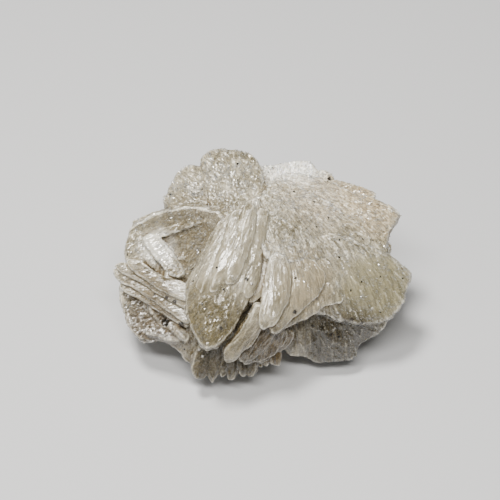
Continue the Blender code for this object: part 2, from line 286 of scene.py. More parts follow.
# %% [markdown]
# ## One sheet of crystal
# A sheet is closed and thin, like a coin. It starts as a grid, which is then rolled up.
# The grid's long side runs round the rim. Its short side runs from the middle of the
# underside, out over the rim, to the middle of the top, with one row for each ring of the
# section. The outermost rows shrink to a point and the two ends meet, so merging doubles
# closes it. A filled outline that is extruded would be quicker, but it has no rings for
# the growth steps.

# %% Sheets with growth steps
UNEVENNESS = 0.35  # how much a step's distance from the rim changes along it
UNEVEN_LENGTH = 3.0
UNEVEN_SQUEEZE = 0.6  # shrinks the rim that the noise sees, so its waves come out longer
UNEVEN_SEED = 5  # keeps these waves apart from the scallops


def add_sheet(bm, rim, face, thick, bow, bevel):
    """Adds one closed sheet to a bmesh."""
    centre = rim.mean(axis=0)
    seed = sheet_rng.random() * 100
    spokes, length = scalloped(rim - centre, rim, seed)
    inward, height = growth_profile(thick / 2, bevel, length.min())
    levels = len(inward)
    made = bmesh.ops.create_grid(bm, x_segments=len(rim), y_segments=2 * levels, size=1.0)
    co = np.array([vert.co for vert in made["verts"]])
    corner = np.rint((co[:, 0] + 1) / 2 * len(rim)).astype(int) % len(rim)
    ring = np.rint((co[:, 1] + 1) / 2 * 2 * levels).astype(int) - levels
    side = np.sign(ring)
    depth = np.abs(ring)
    known = np.minimum(depth, levels - 1)
    waves = wander(rim * UNEVEN_SQUEEZE, UNEVEN_LENGTH, seed + UNEVEN_SEED)
    uneven = 1 + UNEVENNESS * waves
    on_step = known >= len(BEVEL_RINGS)
    inset = inward[known] * np.where(on_step, uneven[corner], 1.0)
    reach = np.exp(-inset / length[corner])
    reach[depth == levels] = 0.0
    rise = side * height[known] + bow * (1 - reach**2)
    spot = centre + reach[:, None] * spokes[corner] + rise[:, None] * face
    for vert, place in zip(made["verts"], spot):
        vert.co = place


print("a sheet's grid has one row for each ring, above and below the rim")

# %% [markdown]
# ## A crystal and a group
# A thick crystal is a pile of sheets that differ a little in outline, so its side shows
# fine ledges. One thick sheet would look cast. The sheets overlap, and so do the crystals
# of a group, because they melt into one another in the next step. A group of crystals
# becomes one mesh, and the show frame's matrix puts it into its place.

# %% Piles of sheets
SHEETS = 3
OUTER_SHRINK = (0.04, 0.16)  # the outer sheets of a pile are a little smaller
PIVOT_SHARE = 0.5  # how far off the middle the place lies that a sheet shrinks towards
SHEET_OVERLAP = 1.35
SAME_POINT = 1e-5


def add_crystal(bm, crystal, chisel):
    """Adds a crystal as a pile of sheets; chisel is the bevel's share of a sheet's thickness."""
    rim, face = crystal_rim(crystal)
    curve = smooth_curve(rim, RIM_SPACING)
    sheets = SHEETS if crystal.thick > SHEETS else max(1, int(crystal.thick))
    thick = crystal.thick / sheets
    overlap = SHEET_OVERLAP if sheets > 1 else 1.0
    middle = curve.mean(axis=0)
    for number in range(sheets):
        level = number - (sheets - 1) / 2
        outer = 0.0 if abs(level) < 1 else abs(level) / sheets
        size = 1 - outer * sheet_rng.uniform(*OUTER_SHRINK)
        pivot = middle + (curve[sheet_rng.randrange(len(curve))] - middle) * PIVOT_SHARE
        outline = pivot + (curve - pivot) * size + face * thick * level
        add_sheet(bm, outline, face, thick * overlap, crystal.bow, chisel * thick)


def to_object(bm, name):
    """Turns a bmesh into an object of its own in the scene."""
    mesh = bpy.data.meshes.new(name)
    bm.to_mesh(mesh)
    bm.free()
    obj = bpy.data.objects.new(name, mesh)
    bpy.context.scene.collection.objects.link(obj)
    return obj


def add_group(name, crystals, chisel):
    """A joined mesh of crystals that still overlap."""
    bm = bmesh.new()
    for crystal in crystals:
        add_crystal(bm, crystal, chisel)
    bmesh.ops.remove_doubles(bm, verts=bm.verts, dist=SAME_POINT)
    bm.transform(SHOW)
    return to_object(bm, name)


print("a thick crystal is a pile of", SHEETS, "sheets")

# %% [markdown]
# ## From overlapping sheets to one skin
# The sheets of a group still pass through each other. Blender's voxel Remesh melts them
# into one closed skin, as if the crystals had grown together, and its grid is fine enough
# to keep the steps. A Boolean would keep sharper seams, but it would take far longer on so
# many sheets. Groups that stand close to the eye get the finest grid. The right side is
# the largest, and the back is seldom seen, so theirs are coarser.

# %% Fuse a group
VOXEL = 0.24
FINE_VOXEL = 0.17
BROAD_VOXEL = 0.27
BACK_VOXEL = 0.42


def applied(obj):
    """Replaces an object's mesh with what its modifiers make of it."""
    graph = bpy.context.evaluated_depsgraph_get()
    mesh = bpy.data.meshes.new_from_object(obj.evaluated_get(graph))
    old = obj.data
    obj.modifiers.clear()
    obj.data = mesh
    bpy.data.meshes.remove(old)
    return obj


def fuse(obj, voxel):
    """Turns overlapping sheets into one closed skin."""
    fused = obj.modifiers.new("fuse", "REMESH")
    fused.mode = "VOXEL"
    fused.voxel_size = voxel * MM
    return applied(obj)


print("grids in mm:", FINE_VOXEL, VOXEL, BROAD_VOXEL, BACK_VOXEL)

# %% [markdown]
# ## The way the sugar lies
# The sugar crystals don't lie anyhow. Most of them point away from the place where their
# plate started to grow, like iron filings round a magnet. That place is the plate's hub.
# Each point of a skin is turned into two things: its direction from the hub and its
# distance. A pattern that reads these comes out stretched away from the hub, and no
# texture has to be painted.

# %% Points and growth
SHOW_BACK = np.array(SHOW.inverted())
OUTWARDS = np.array([0.48, 0.6, 0.64])  # the pattern's own axis for distance


def points_of(mesh):
    """A mesh's points and normals as arrays."""
    co = np.empty(len(mesh.vertices) * 3, np.float32)
    mesh.vertices.foreach_get("co", co)
    normal = np.empty(len(mesh.vertices) * 3, np.float32)
    mesh.vertex_normals.foreach_get("vector", normal)
    return co.reshape(-1, 3), normal.reshape(-1, 3)


def set_points(obj, co):
    """Moves a mesh's points, and keeps them inside the solid's box."""
    inside = np.clip(co, np.array(cad_box[0]), np.array(cad_box[1]))
    obj.data.vertices.foreach_set("co", inside.ravel().astype(np.float32))
    obj.data.update()


def in_show_frame(co):
    """Points in the show frame, in millimetres."""
    return co @ SHOW_BACK[:3, :3].T + SHOW_BACK[:3, 3]


def along_growth(show, hub, size, stretch):
    """Points moved so that a cell of `size` comes out `stretch` times longer away from a hub."""
    away = show - np.array(hub)
    far = np.linalg.norm(away, axis=1)[:, None]
    travel = far / (size * stretch)
    return away / far * (far.mean() / size) + travel * OUTWARDS


print("the solid's top corner in the show frame:", in_show_frame(np.array([cad_box[1]])).round(1))

# %% [markdown]
# ## Sugar and lumps
# The coarser sugar is moved in the skin itself, because a bump in the material leaves the
# outline smooth. Space is cut into cells, and in each cell the skin is tilted its own way,
# so that each cell becomes one facet. A Displace modifier with a cell texture gives domes
# or cones, and never a flat facet. A slower noise adds soft lumps.

# %% Roughen a skin
CELL = 0.75
CELL_STRETCH = 2.6
TILT_SHUFFLE = 13.7  # gives each cell another random tilt
LUMP = 2.4
LUMP_STRETCH = 2.5


def facets(places):
    """Height of a random facet at each place."""
    heights = np.empty(len(places))
    for number, place in enumerate(places):
        spot = Vector(place)
        nearest = noise.voronoi(spot)[1][0]
        tilt = noise.cell_vector(nearest * TILT_SHUFFLE) - Vector((0.5, 0.5, 0.5))
        heights[number] = tilt.dot(spot - nearest)
    return heights


def roughen(obj, hub, sugar, lumps):
    """Moves a skin's points along their normals."""
    co, normal = points_of(obj.data)
    show = in_show_frame(co)
    rise = sugar * facets(along_growth(show, hub, CELL, CELL_STRETCH))
    soft = along_growth(show, hub, LUMP, LUMP_STRETCH)
    rise += lumps * np.array([noise.noise(Vector(p)) for p in soft])
    set_points(obj, co + normal * rise[:, None] * MM)


print("facets at two places:", facets([(0.2, 0.3, 0.4), (1.2, 0.3, 0.4)]).round(3))

# %% [markdown]
# ## Notes for the material
# A material doesn't know which way a crystal grew, or which of its faces stayed clean. So
# both are stored on the skin's points as attributes, which the material reads later. A few
# faces have little sugar on them and shine: the upper half of the long crystal in the
# middle, the blade that stands in the hollow and, less so, the petals and the right side.
# They could be painted by hand, but a list of spots is shorter and can be read.

# %% Growth and clean faces
GRAIN = 0.35
GRAIN_STRETCH = 1.2
CLEAN_EDGE = 1.6  # over 1, so that the middle of a spot is clean all over
# Middle of each clean spot in the show frame, its reach, and how clean it is.
CLEAN = [
    ((-9.9, 3, 17.3), 3.6, 1.0), ((-10.6, -1, 17.8), 3.4, 1.0), ((-13.7, -4.2, 17.2), 3.2, 1.0),
    ((-6.6, 0, 18), 2.8, 1.0), ((-2, 4, 15.7), 3.6, 1.0), ((-0.8, 8.2, 14.8), 2.8, 1.0),
    ((-27.5, 6, 5.9), 4.5, 1.0), ((-25, 2.5, 6.8), 3.0, 1.0), ((3, -6, 16), 11.0, 0.35),
    ((9, -4, 13), 10.0, 0.35), ((27, -5, 6), 12.0, 0.3),
]


def store(obj, name, values):
    """Keeps one number, or one vector, for each point of a skin."""
    kind, field = ("FLOAT_VECTOR", "vector") if values.ndim == 2 else ("FLOAT", "value")
    layers = obj.data.attributes
    layer = layers.get(name) or layers.new(name, kind, "POINT")
    layer.data.foreach_set(field, values.ravel().astype(np.float32))


def mark_growth(obj, hub):
    """Stores grain coordinates: one unit is a sugar crystal, longer away from the hub."""
    co, _ = points_of(obj.data)
    store(obj, "growth", along_growth(in_show_frame(co), hub, GRAIN, GRAIN_STRETCH))


def mark_clean(obj):
    """Stores where a skin is clean and shines."""
    co, _ = points_of(obj.data)
    show = in_show_frame(co)
    clean = np.zeros(len(co))
    for spot, reach, most in CLEAN:
        far = np.linalg.norm(show - np.array(spot), axis=1)
        clean = np.maximum(clean, most * np.clip(CLEAN_EDGE * (1 - far / reach), 0, 1))
    store(obj, "gloss", clean)


print("clean spots:", len(CLEAN))

# %% [markdown]
# ## Growing one group
# Every part of the rosette goes through the same steps: pile up its sheets, fuse them,
# roughen the skin and store its notes. So one function does them. What differs is passed
# in: the hub, how strong the sugar and the lumps are, how fine the grid is, and how much
# of a sheet's thickness its bevelled rim takes.

# %% Grow
groups = {}
hubs = {}


def finish_skin(obj, hub, sugar, lumps):
    """Roughens a skin, stores its notes and keeps it with the groups."""
    roughen(obj, hub, sugar, lumps)
    mark_growth(obj, hub)
    mark_clean(obj)
    groups[obj.name] = obj
    hubs[obj.name] = hub


def grow(name, crystals, hub, sugar, lumps, voxel, chisel):
    """Grows a group of crystals into one skin."""
    obj = fuse(add_group(name, crystals, chisel), voxel)
    finish_skin(obj, hub, sugar, lumps)
    print(name, "crystals", len(crystals), "tris", 2 * len(obj.data.polygons), clock())


print("ready to grow", clock())

# %% [markdown]
# ## Blades round the back
# Behind and below, where the show face doesn't reach, blades radiate from the middle like
# the petals of a dahlia. Nobody arranges those one by one. Three rows go round the back,
# each row at its own height, and every blade strays a little from its even place and has
# its own size. They are drawn before anything else is grown and grown last, so that the
# random draws of the show face never change them.

# %% Back blades
# Each row's height over the heart in degrees, and how many blades it has.
BACK_ROWS = [(-20.0, 11), (8.0, 9), (34.0, 6)]
BACK_START = 205.0  # where a row starts, counted from +X
BACK_SWEEP = 215.0  # how far round the back it goes
BACK_STRAY = 6.0  # how far a blade strays from its even place
BACK_CENTRE = Vector((-1.0, 1.0, 16.0))
BACK_REACH = Vector((34.0, 25.0, 17.0))
BACK_LENGTHS = (0.92, 1.06)  # least and most, as shares of the reach
BACK_WIDTHS = (11.0, 17.0)
BACK_THICKS = (3.0, 4.5)
BACK_TILTS = (0.9, 1.4)
BACK_ROOT = 0.35  # where a blade starts, as a share of its reach


def back_directions():
    """Directions of the back blades, row by row."""
    directions = []
    for height, count in BACK_ROWS:
        for number in range(count):
            even = BACK_START - BACK_SWEEP * number / (count - 1)
            turn = math.radians(even + blade_rng.uniform(-BACK_STRAY, BACK_STRAY))
            rise = math.radians(height + blade_rng.uniform(-BACK_STRAY, BACK_STRAY))
            out = Vector((math.cos(turn), math.sin(turn), 0.0)) * math.cos(rise)
            out.z = math.sin(rise)
            directions.append(out)
    return directions


def back_rosette():
    """Blades that radiate behind and below, where the show face doesn't reach."""
    to_show = SHOW.inverted()
    blades = []
    for out in back_directions():
        reach = blade_rng.uniform(*BACK_LENGTHS) * out * BACK_REACH
        root = to_show @ ((BACK_CENTRE + BACK_ROOT * reach) * MM)
        tip = to_show @ ((BACK_CENTRE + reach) * MM)
        face = to_show.to_3x3() @ Vector((-out.y, out.x, blade_rng.uniform(*BACK_TILTS)))
        width = blade_rng.uniform(*BACK_WIDTHS)
        thick = blade_rng.uniform(*BACK_THICKS)
        blades.append(Blade(root, tip, face, width, thick))
    return blades


back_blades = back_rosette()
print("back blades:", len(back_blades))

# %% [markdown]
# ## The right side
# Broad plates fan out to the right, the lower ones behind the upper, and their sugar
# gives them a silky sheen. A rounded saddle joins them to the middle. Each is drawn as
# one closed outline, also where another plate hides it, because a plate that stops at
# the edge of its neighbour leaves a gap as soon as the view turns.

# %% Right plates
def right_plates():
    """Broad plates that fan out to the right, the lower ones behind the upper."""
    upper = [
        (4, 22.6), (11, 22.9), (17.7, 21), (23, 18.2), (28, 17), (34, 13.8), (34.6, 12),
        (32.5, 8.5), (30, 1), (20, -4), (6, -4), (0.5, 6), (-1, 16), (0, 19),
    ]
    step = [
        (0.8, 19.5), (5, 21), (12, 18.5), (19, 14.5), (25, 10), (27.5, 6), (25, 1), (14, -4),
        (5, -1), (1.5, 6), (0.5, 12),
    ]
    middle = [
        (15, 8.5), (21, 7.6), (26, 5.8), (31, 3.2), (36.5, -1), (37.5, -2.8), (36, -6.5),
        (35.2, -9.6), (31.2, -13.6), (25, -14.8), (16, -13), (8, -8), (6, -2), (8, 6),
    ]
    lower = [
        (31.4, -12.5), (28.2, -17), (24.7, -19.6), (23.8, -22), (22.6, -23.3), (17.7, -23.9),
        (13.2, -24.3), (10.5, -22.8), (5.8, -21.8), (3, -17), (6, -10), (14, -4), (24, -4),
    ]
    knob = [(31.5, 6), (32.3, 5), (32, 2.5), (28, 2), (28, 6)]
    saddle = [
        (-1.5, 16), (5, 18), (10, 15.5), (14, 11), (16, 6), (15.5, 2), (12, 0.5), (7, 0),
        (2, 0.5), (-1.5, 4),
    ]
    return [
        Plate(upper, (16, 10, 1.5), (0.08, 0.25, 0.96), 4.5, 1.5),
        Plate(step, (12, 9, 5.2), (0.13, 0.18, 0.97), 3.2, 1.0),
        Plate(middle, (23, -3.5, 4), (0.17, -0.06, 0.98), 5, 1.5),
        Plate(lower, (17, -15.5, 0), (0.1, -0.35, 0.93), 4.5, 1.0),
        Plate(knob, (30, 4, -1), (0.2, 0.1, 0.97), 3),
        Plate(saddle, (7, 7, 8.6), (0.35, 0.37, 0.86), 4, 1.3),
    ]


grow(
    "right_plates", right_plates(),
    hub=(-14, 20, -4), sugar=0.5, lumps=0.5, voxel=BROAD_VOXEL, chisel=0.45,
)

# %% [markdown]
# ## White plates over the edge
# A few thin plates stand behind the upper right edge and show over it. They are the
# whitest on the specimen. Only their upper rims are seen, so their lower corners are
# kept few, and reach well down behind the right side.

# %% Top right plates
def top_right_plates():
    """Thin white plates that show over the upper right edge."""
    widest = [
        (-1, 24.6), (4.7, 25.8), (8.7, 26.7), (12.5, 26.5), (14, 24), (14, 21), (6, 19), (0, 19),
    ]
    small = [(13, 24), (16.7, 24), (18, 22.6), (18, 20), (13, 19)]
    layered = [(17, 21.8), (23.7, 20.2), (27.7, 18.9), (28.5, 17), (24, 15), (16, 17)]
    return [
        Plate(widest, (7, 23, -5), (0.0, 0.35, 0.94), 3.5),
        Plate(small, (15, 22, -5), (0.1, 0.3, 0.95), 3),
        Plate(layered, (22, 18, -3.5), (0.1, 0.4, 0.9), 3),
    ]


grow(
    "top_right_plates", top_right_plates(),
    hub=(0, 5, -8), sugar=0.4, lumps=0.3, voxel=VOXEL, chisel=0.45,
)

# %% [markdown]
# ## The crown
# The top of the specimen is a round-topped plate with a shoulder on its left. Both lean
# back, away from the eye, and catch the light from above. A short blade fills the corner
# between the crown and the right side, where the plates would otherwise part.

# %% Top plates
def top_plates():
    """Upright plates along the top and the upper left."""
    crown = [
        (-16.3, 25.4), (-14.8, 28.3), (-12.8, 29), (-8.8, 29.1), (-6, 28.9), (-2.8, 27.3),
        (-0.3, 24.6), (0.5, 18), (-3.5, 10), (-11, 10), (-14.5, 17),
    ]
    shoulder = [
        (-16.8, 25.6), (-19.8, 24.7), (-22, 23.4), (-23.7, 20.1), (-24.5, 18), (-25.3, 15.6),
        (-22, 12), (-12, 11), (-10, 17), (-13.5, 23),
    ]
    return [
        Plate(crown, (-8, 21, -1), (0.0, 0.45, 0.89), 4.5, 1.0),
        Plate(shoulder, (-18, 19, -2), (-0.2, 0.35, 0.92), 4.5, 0.8),
        Blade((-1, 11, 6), (-3.7, 25, -3), (0.3, 0.4, 0.86), 7, 3),
    ]


grow(
    "top_plates", top_plates(),
    hub=(-8, -2, -4), sugar=0.5, lumps=0.4, voxel=VOXEL, chisel=0.45,
)

# %% [markdown]
# ## The hollow on the left
# A shallow bowl opens on the left: a plate with a raised rim and a step inside it. The
# bowl is the same kind of plate as the others, with a bow below zero, which sinks its
# middle. Carving it out with a Boolean would leave a sharp edge that barite doesn't have.
# One bright blade and two thin ones stand in it.

# %% Hollow plates
def hollow_plates():
    """Plates that line the hollow on the left, with one bright blade standing in it."""
    lining = [
        (-26.5, 13.8), (-29.3, 12.4), (-32.5, 10.6), (-33.7, 8.6), (-34.3, 6), (-34.7, 3.4),
        (-33.8, 0), (-26, -2), (-18, -1), (-12, 3), (-8, 10), (-10, 14), (-18, 15.5),
    ]
    lobe = [
        (-33.5, 8.6), (-31.3, 9), (-29.5, 7), (-29, 3), (-30, -1), (-33.5, 0), (-35, 3.4),
        (-34.6, 6),
    ]
    return [
        Plate(lining, (-22, 6, 3), (-0.3, -0.18, 0.93), 5, -1.5),
        Blade((-13.5, 15.5, 4), (-33, 10.4, -1), (-0.1, 0.35, 0.93), 3.4, 2),
        Plate(lobe, (-32, 4, 1.5), (-0.25, 0.0, 0.97), 3, 0.6),
        Blade((-11, 13, 8.9), (-29.5, 7, 2.6), (-0.25, 0.1, 0.95), 2.6, 1.8),
        Blade((-20.3, -2.8, 6.8), (-29.2, 7.8, 4), (-0.13, 0.35, 0.93), 4.6, 2.4),
        Blade((-22, -3.5, 4.6), (-30, 4.4, 3.4), (-0.3, 0.3, 0.9), 4.5, 1.6),
        Blade((-23, -3.5, 3.6), (-30.5, 2, 2.6), (-0.3, 0.3, 0.9), 4.5, 1.4),
    ]


grow(
    "hollow_plates", hollow_plates(),
    hub=(-2, 16, -2), sugar=0.4, lumps=0.3, voxel=VOXEL, chisel=0.45,
)

# %% [markdown]
# ## The long crystal in the middle
# One long bowed crystal stands out furthest, and it is what the eye goes to first. Its
# upper half carries ridges that run lengthwise. They are blades of their own, half sunk
# in the body, because sinking them gives both the ridges and the grooves between them.
# Every ridge is a root, a tip, a sideways turn of its face, and a width.

# %% Middle tongue
RIDGE_THICK = 3.4
RIDGE_BOW = 1.2


def middle_tongue():
    """The long bowed crystal that stands out furthest, with ridges along its upper half."""
    body = [
        (-2, 17), (0, 14), (1, 9), (0.5, 4), (-0.8, -0.5), (-1.8, -5), (-3.5, -9.3), (-5, -11.8),
        (-7, -15.5), (-8.6, -17.5), (-11, -19.8), (-13.3, -20.5), (-15.3, -19.8), (-17.5, -15.5),
        (-19.3, -11), (-18.3, -5.5), (-16.8, -2.5), (-14.3, 1), (-12.8, 6), (-11, 9), (-7, 14),
    ]
    ridges = [
        ((-9.4, 9.5, 10.4), (-18.2, -8.5, 11.9), -0.6, 5.0),
        ((-7.6, 12.5, 11.6), (-15.6, -6.4, 15.2), -0.4, 5.2),
        ((-5.2, 14.5, 12), (-12.2, -6.4, 16.2), -0.12, 5.4),
        ((-2.8, 15.5, 12), (-8.6, -5.2, 16.5), 0.14, 5.4),
        ((-0.4, 15, 11), (-4.6, -8.8, 14.6), 0.42, 5.4),
    ]
    blades = [Plate(body, (-9, -2, 11.5), (0, 0.12, 0.99), 6, 2.6)]
    for root, tip, turn, width in ridges:
        blades.append(Blade(root, tip, (turn, 0.0, 1.0), width, RIDGE_THICK, RIDGE_BOW))
    blades.append(Blade((-12.5, -8, 14.5), (-13.8, -20.7, 12.5), (-0.2, -0.2, 1), 5.5, 3, 1.2))
    return blades


grow(
    "tongue", middle_tongue(),
    hub=(-2, 28, 2), sugar=0.14, lumps=0.16, voxel=FINE_VOXEL, chisel=0.3,
)

# %% [markdown]
# ## Petals
# Right of the long crystal lie four petals, each under the one before it, like a hand of
# cards. Their rims are thin, and their middles bulge a little. They could float one above
# the other, but from the side light would show between them, so a thick bed holds them
# from behind. A narrow plate closes the seam beside the long crystal.

# %% Petal stack
def petal_stack():
    """Overlapping petals right of the tongue, each under the one before it."""
    first = [
        (2.2, 3.2), (4.6, 3), (6.3, 0.8), (6.9, -2.3), (6.6, -6.1), (5.3, -9.9), (3, -13.7),
        (1.1, -14.9), (-0.4, -15.4), (-1.2, -14), (-1, -10), (-0.2, -5), (0.8, 0),
    ]
    second = [
        (6, 2.5), (9, 3.2), (12, 1.8), (13.8, 0), (15.1, -2.3), (14.5, -5.4), (12.2, -8.6),
        (7.5, -12.4), (3.7, -15.9), (1.6, -16), (1.5, -11), (3.5, -4),
    ]
    third = [
        (14.2, -1), (15.8, -3.8), (16.2, -6.1), (15.8, -8.9), (13.9, -10.8), (10.6, -13),
        (5.9, -14.9), (2.7, -16.6), (3, -13), (9, -6),
    ]
    fourth = [
        (11.8, 5), (15.8, 4), (18.4, 1), (20.3, -2.6), (19.8, -8), (18.3, -9.7), (16, -10),
        (11, -11), (9, -8), (9, 0),
    ]
    bed = [
        (2, 1), (8, 2), (12.5, 0), (14, -4), (11, -9), (5, -13), (0.5, -14), (-1, -8), (0, -2),
    ]
    seam = [
        (0, 9), (2.2, 6), (2.6, 1), (0.8, -5), (-1.4, -8.6), (-3.8, -8.6), (-2.8, -3), (-1.4, 4),
    ]
    return [
        Plate(first, (3, -6, 15.4), (0.22, 0.12, 0.97), 1.8, 0.7),
        Plate(second, (8.5, -6, 12.3), (0.27, 0.08, 0.96), 1.8, 0.7),
        Plate(third, (12, -9, 9.9), (0.3, 0.0, 0.95), 1.8, 0.5),
        Plate(fourth, (15, -3.5, 7.3), (0.22, 0.05, 0.97), 4, 0.8),
        Plate(bed, (6, -6, 10.4), (0.3, 0.05, 0.95), 5.4),
        Plate(seam, (-0.5, 0.5, 12.2), (-0.12, 0.16, 0.98), 2.4, 0.4),
    ]


grow(
    "petals", petal_stack(),
    hub=(-4, 14, 4), sugar=0.1, lumps=0.12, voxel=FINE_VOXEL, chisel=0.18,
)

# %% [markdown]
# ## Lenses
# Under the petals come four small blades, shaped like lenses, which step back to the
# right. They are clear and olive brown, darkened further as painted shade, and their pale
# rims, partly painted light, draw their outlines sharply. A superellipse would be too even
# for that, so each gets its own corners.

# %% Lower lenses
def lower_lenses():
    """Small lens-shaped blades under the petals, stepping back to the right."""
    largest = [
        (-2, -9), (-3.3, -11.1), (-6.8, -16.5), (-9.5, -19.7), (-9.9, -21.5), (-9.4, -22.9),
        (-8.7, -23.4), (-6.8, -22.5), (-5.2, -20.6), (-2.7, -18.7), (-1, -15.9), (-0.2, -12),
        (0, -9.5),
    ]
    olive = [
        (2.6, -15.5), (2.4, -17.4), (0.5, -20), (-2, -22.5), (-4.2, -23.4), (-6, -23.2),
        (-6, -20), (-3, -15.5), (0, -12.5),
    ]
    long = [
        (5.8, -16), (5.3, -18.7), (2.7, -21), (-0.8, -22.9), (-3.9, -24.1), (-5, -23.5),
        (-2.5, -19), (2, -14),
    ]
    lowest = [
        (7.4, -16), (6.7, -18.9), (3.8, -21.7), (0.8, -23.4), (-1.5, -23.8), (-0.5, -20),
        (3, -15),
    ]
    bed = [
        (-5, -21.5), (-7, -17), (-3, -12), (3, -12), (4.5, -14.5), (3.7, -18), (2.5, -20.8),
        (0.5, -21.8), (-2.5, -23),
    ]
    return [
        Plate(largest, (-5, -17, 13.8), (0.15, -0.33, 0.93), 2.2, 0.5),
        Plate(olive, (-2, -18.5, 11), (0.26, -0.38, 0.89), 1.8, 0.3),
        Plate(long, (1, -19.5, 8.4), (0.28, -0.4, 0.87), 1.8, 0.3),
        Plate(lowest, (3, -19.5, 6.4), (0.3, -0.45, 0.84), 1.8, 0.3),
        Plate(bed, (0, -18, 6.8), (0.28, -0.4, 0.87), 6.8),
    ]


grow(
    "lenses", lower_lenses(),
    hub=(8, 2, 0), sugar=0.1, lumps=0.1, voxel=FINE_VOXEL, chisel=0.2,
)

# %% [markdown]
# ## The bundle at the left tip
# Four parallel plates run out to the left tip, like a sheaf of paper seen from the edge.
# Their faces are parallel and their middles step down by the same amount, so a loop sets
# those. Only the outlines differ.

# %% Left bundle
BUNDLE_TOP = 6.8  # w of the uppermost plate's middle
BUNDLE_STEP = 1.1  # how far each plate lies under the one before it
BUNDLE_FACE = (-0.12, 0.28, 0.95)


def left_bundle():
    """Parallel plates that run out to the left tip, each one under the plate above it."""
    outlines = [
        [
            (-34, 1.1), (-31, 1.2), (-28, -0.8), (-25, -2.4), (-20.5, -3.8), (-16.5, -6.5),
            (-16, -10), (-24, -7), (-29, -4), (-33, -1),
        ],
        [
            (-37.2, -0.2), (-36.4, 0.6), (-34, 0.4), (-26, -3.6), (-16, -8), (-16, -12),
            (-24, -8.4), (-30, -4.8), (-35.4, -2),
        ],
        [
            (-37.8, -1.6), (-36.4, -1.1), (-28, -4.5), (-16, -11), (-18.5, -14.4), (-22, -12.6),
            (-28.6, -8.2), (-32.8, -5.6), (-35.8, -4.3),
        ],
        [
            (-36, -5), (-34, -3.5), (-26, -8), (-18, -12), (-19, -15.4), (-26, -11.6),
            (-30.3, -8.8), (-33.4, -7.4), (-35.4, -6.2),
        ],
    ]
    plates = []
    for number, outline in enumerate(outlines):
        middle = (-27, -6, BUNDLE_TOP - BUNDLE_STEP * number)
        plates.append(Plate(outline, middle, BUNDLE_FACE, 2.2, 0.3))
    bed = [(-31, -3), (-26, -4), (-18, -7), (-17, -12), (-20, -14), (-27, -9.5), (-31, -6.5)]
    plates.append(Plate(bed, (-27, -6, 2.8), BUNDLE_FACE, 5))
    return plates


grow(
    "left_bundle", left_bundle(),
    hub=(10, -20, 0), sugar=0.1, lumps=0.12, voxel=FINE_VOXEL, chisel=0.2,
)

# %% [markdown]
# ## The lower left
# Two plates and two small blades lie under the bundle, in its shadow. They are stained
# brown and darkened further as painted shade, and close the outline between the left tip
# and the bottom. Dark grains of ore and two small holes sit between them. Those are left to
# the material, the holes as painted shade, because they are hardly wider than a few cells
# of the skin's grid.

# %% Lower left plates
def lower_left_plates():
    """Plates and small blades under the left bundle."""
    outer = [
        (-36.6, -5.4), (-36, -9.7), (-34.2, -15.2), (-31.4, -18.4), (-28.3, -19.3), (-25.5, -18.5),
        (-18, -17), (-17, -12), (-26, -7), (-33, -4.5),
    ]
    under = [
        (-26, -17.4), (-23.2, -19.2), (-21, -21.3), (-18.9, -23.6), (-16, -25), (-12, -22),
        (-13, -15), (-21, -15),
    ]
    return [
        Plate(outer, (-28, -13, 1), (-0.15, 0.2, 0.97), 3.5),
        Plate(under, (-19, -20.5, 2.5), (-0.2, -0.35, 0.91), 4),
        Blade((-19.3, -18.2, 5.5), (-29.8, -15.9, 4), (0, 0.5, 0.86), 3.6, 2.2),
        Blade((-18.5, -18.4, 7), (-23.4, -14.2, 6.5), (0.1, 0.3, 0.95), 2.8, 1.8),
    ]


grow(
    "lower_left", lower_left_plates(),
    hub=(-14, -6, -4), sugar=0.2, lumps=0.25, voxel=VOXEL, chisel=0.4,
)

# %% [markdown]
# ## The fringe
# Along the bottom hangs a row of small blades, like the teeth of a comb. A tooth is known
# by its tip and its width, so a short list holds those, and a loop does the rest: it
# puts the root above the tip, and turns every second tooth the other way, so that their
# rims catch the light in turn.

# %% Bottom fringe
# The u and v of each tooth's tip, and its width.
TEETH = [
    (-16.4, -28.2, 5.2), (-12.8, -28.7, 3.2), (-10.4, -27.6, 3.0), (-8.0, -28.1, 3.6),
    (-5.3, -28.0, 2.9), (-2.9, -27.7, 3.3), (-0.8, -25.1, 2.6), (0.9, -24.7, 2.5),
    (3.3, -25.0, 3.6),
]
TOOTH_LENGTH = 10.0
TOOTH_THICK = 2.2
TOOTH_BOW = 0.3
TOOTH_TURN = 0.25  # every second tooth turns the other way
ROOT_W, TIP_W = 6.0, 3.75
ROOT_CROWDING = 0.8  # the roots stand closer together than the tips
ROOT_SHIFT = -1.2


def bottom_fringe():
    """A row of small blades that hang below the show face, like teeth of a comb."""
    blades = []
    for number, (u, v, width) in enumerate(TEETH):
        turn = TOOTH_TURN * (-1) ** number
        root = (ROOT_CROWDING * u + ROOT_SHIFT, v + TOOTH_LENGTH, ROOT_W)
        tip = (u, v, TIP_W + turn)
        blades.append(Blade(root, tip, (turn, -0.3, 0.9), width, TOOTH_THICK, TOOTH_BOW))
    return blades


grow(
    "fringe", bottom_fringe(),
    hub=(-3, -4, 0), sugar=0.1, lumps=0.12, voxel=FINE_VOXEL, chisel=0.25,
)

# %% [markdown]
# ## The back and the heart
# The back blades are grown last, on the coarsest grid. Between the groups the rosette is
# still empty, and through a gap one could see right into it. A real rosette is solid
# there. A lump in the middle closes it: a ball, stretched to the three half-widths of the
# middle and roughened like the rest. It is the piece that takes the plain solid's place.

# %% Back and heart
HEART_CENTRE = Vector((-1.0, 1.0, 14.5))
HEART_RADII = Vector((22.0, 16.5, 17.5))
BACK_HUB = (-1, -4, -6)
BACK_ROUGH = {"sugar": 0.5, "lumps": 0.5}

grow("back_rosette", back_blades, hub=BACK_HUB, voxel=BACK_VOXEL, chisel=0.45, **BACK_ROUGH)

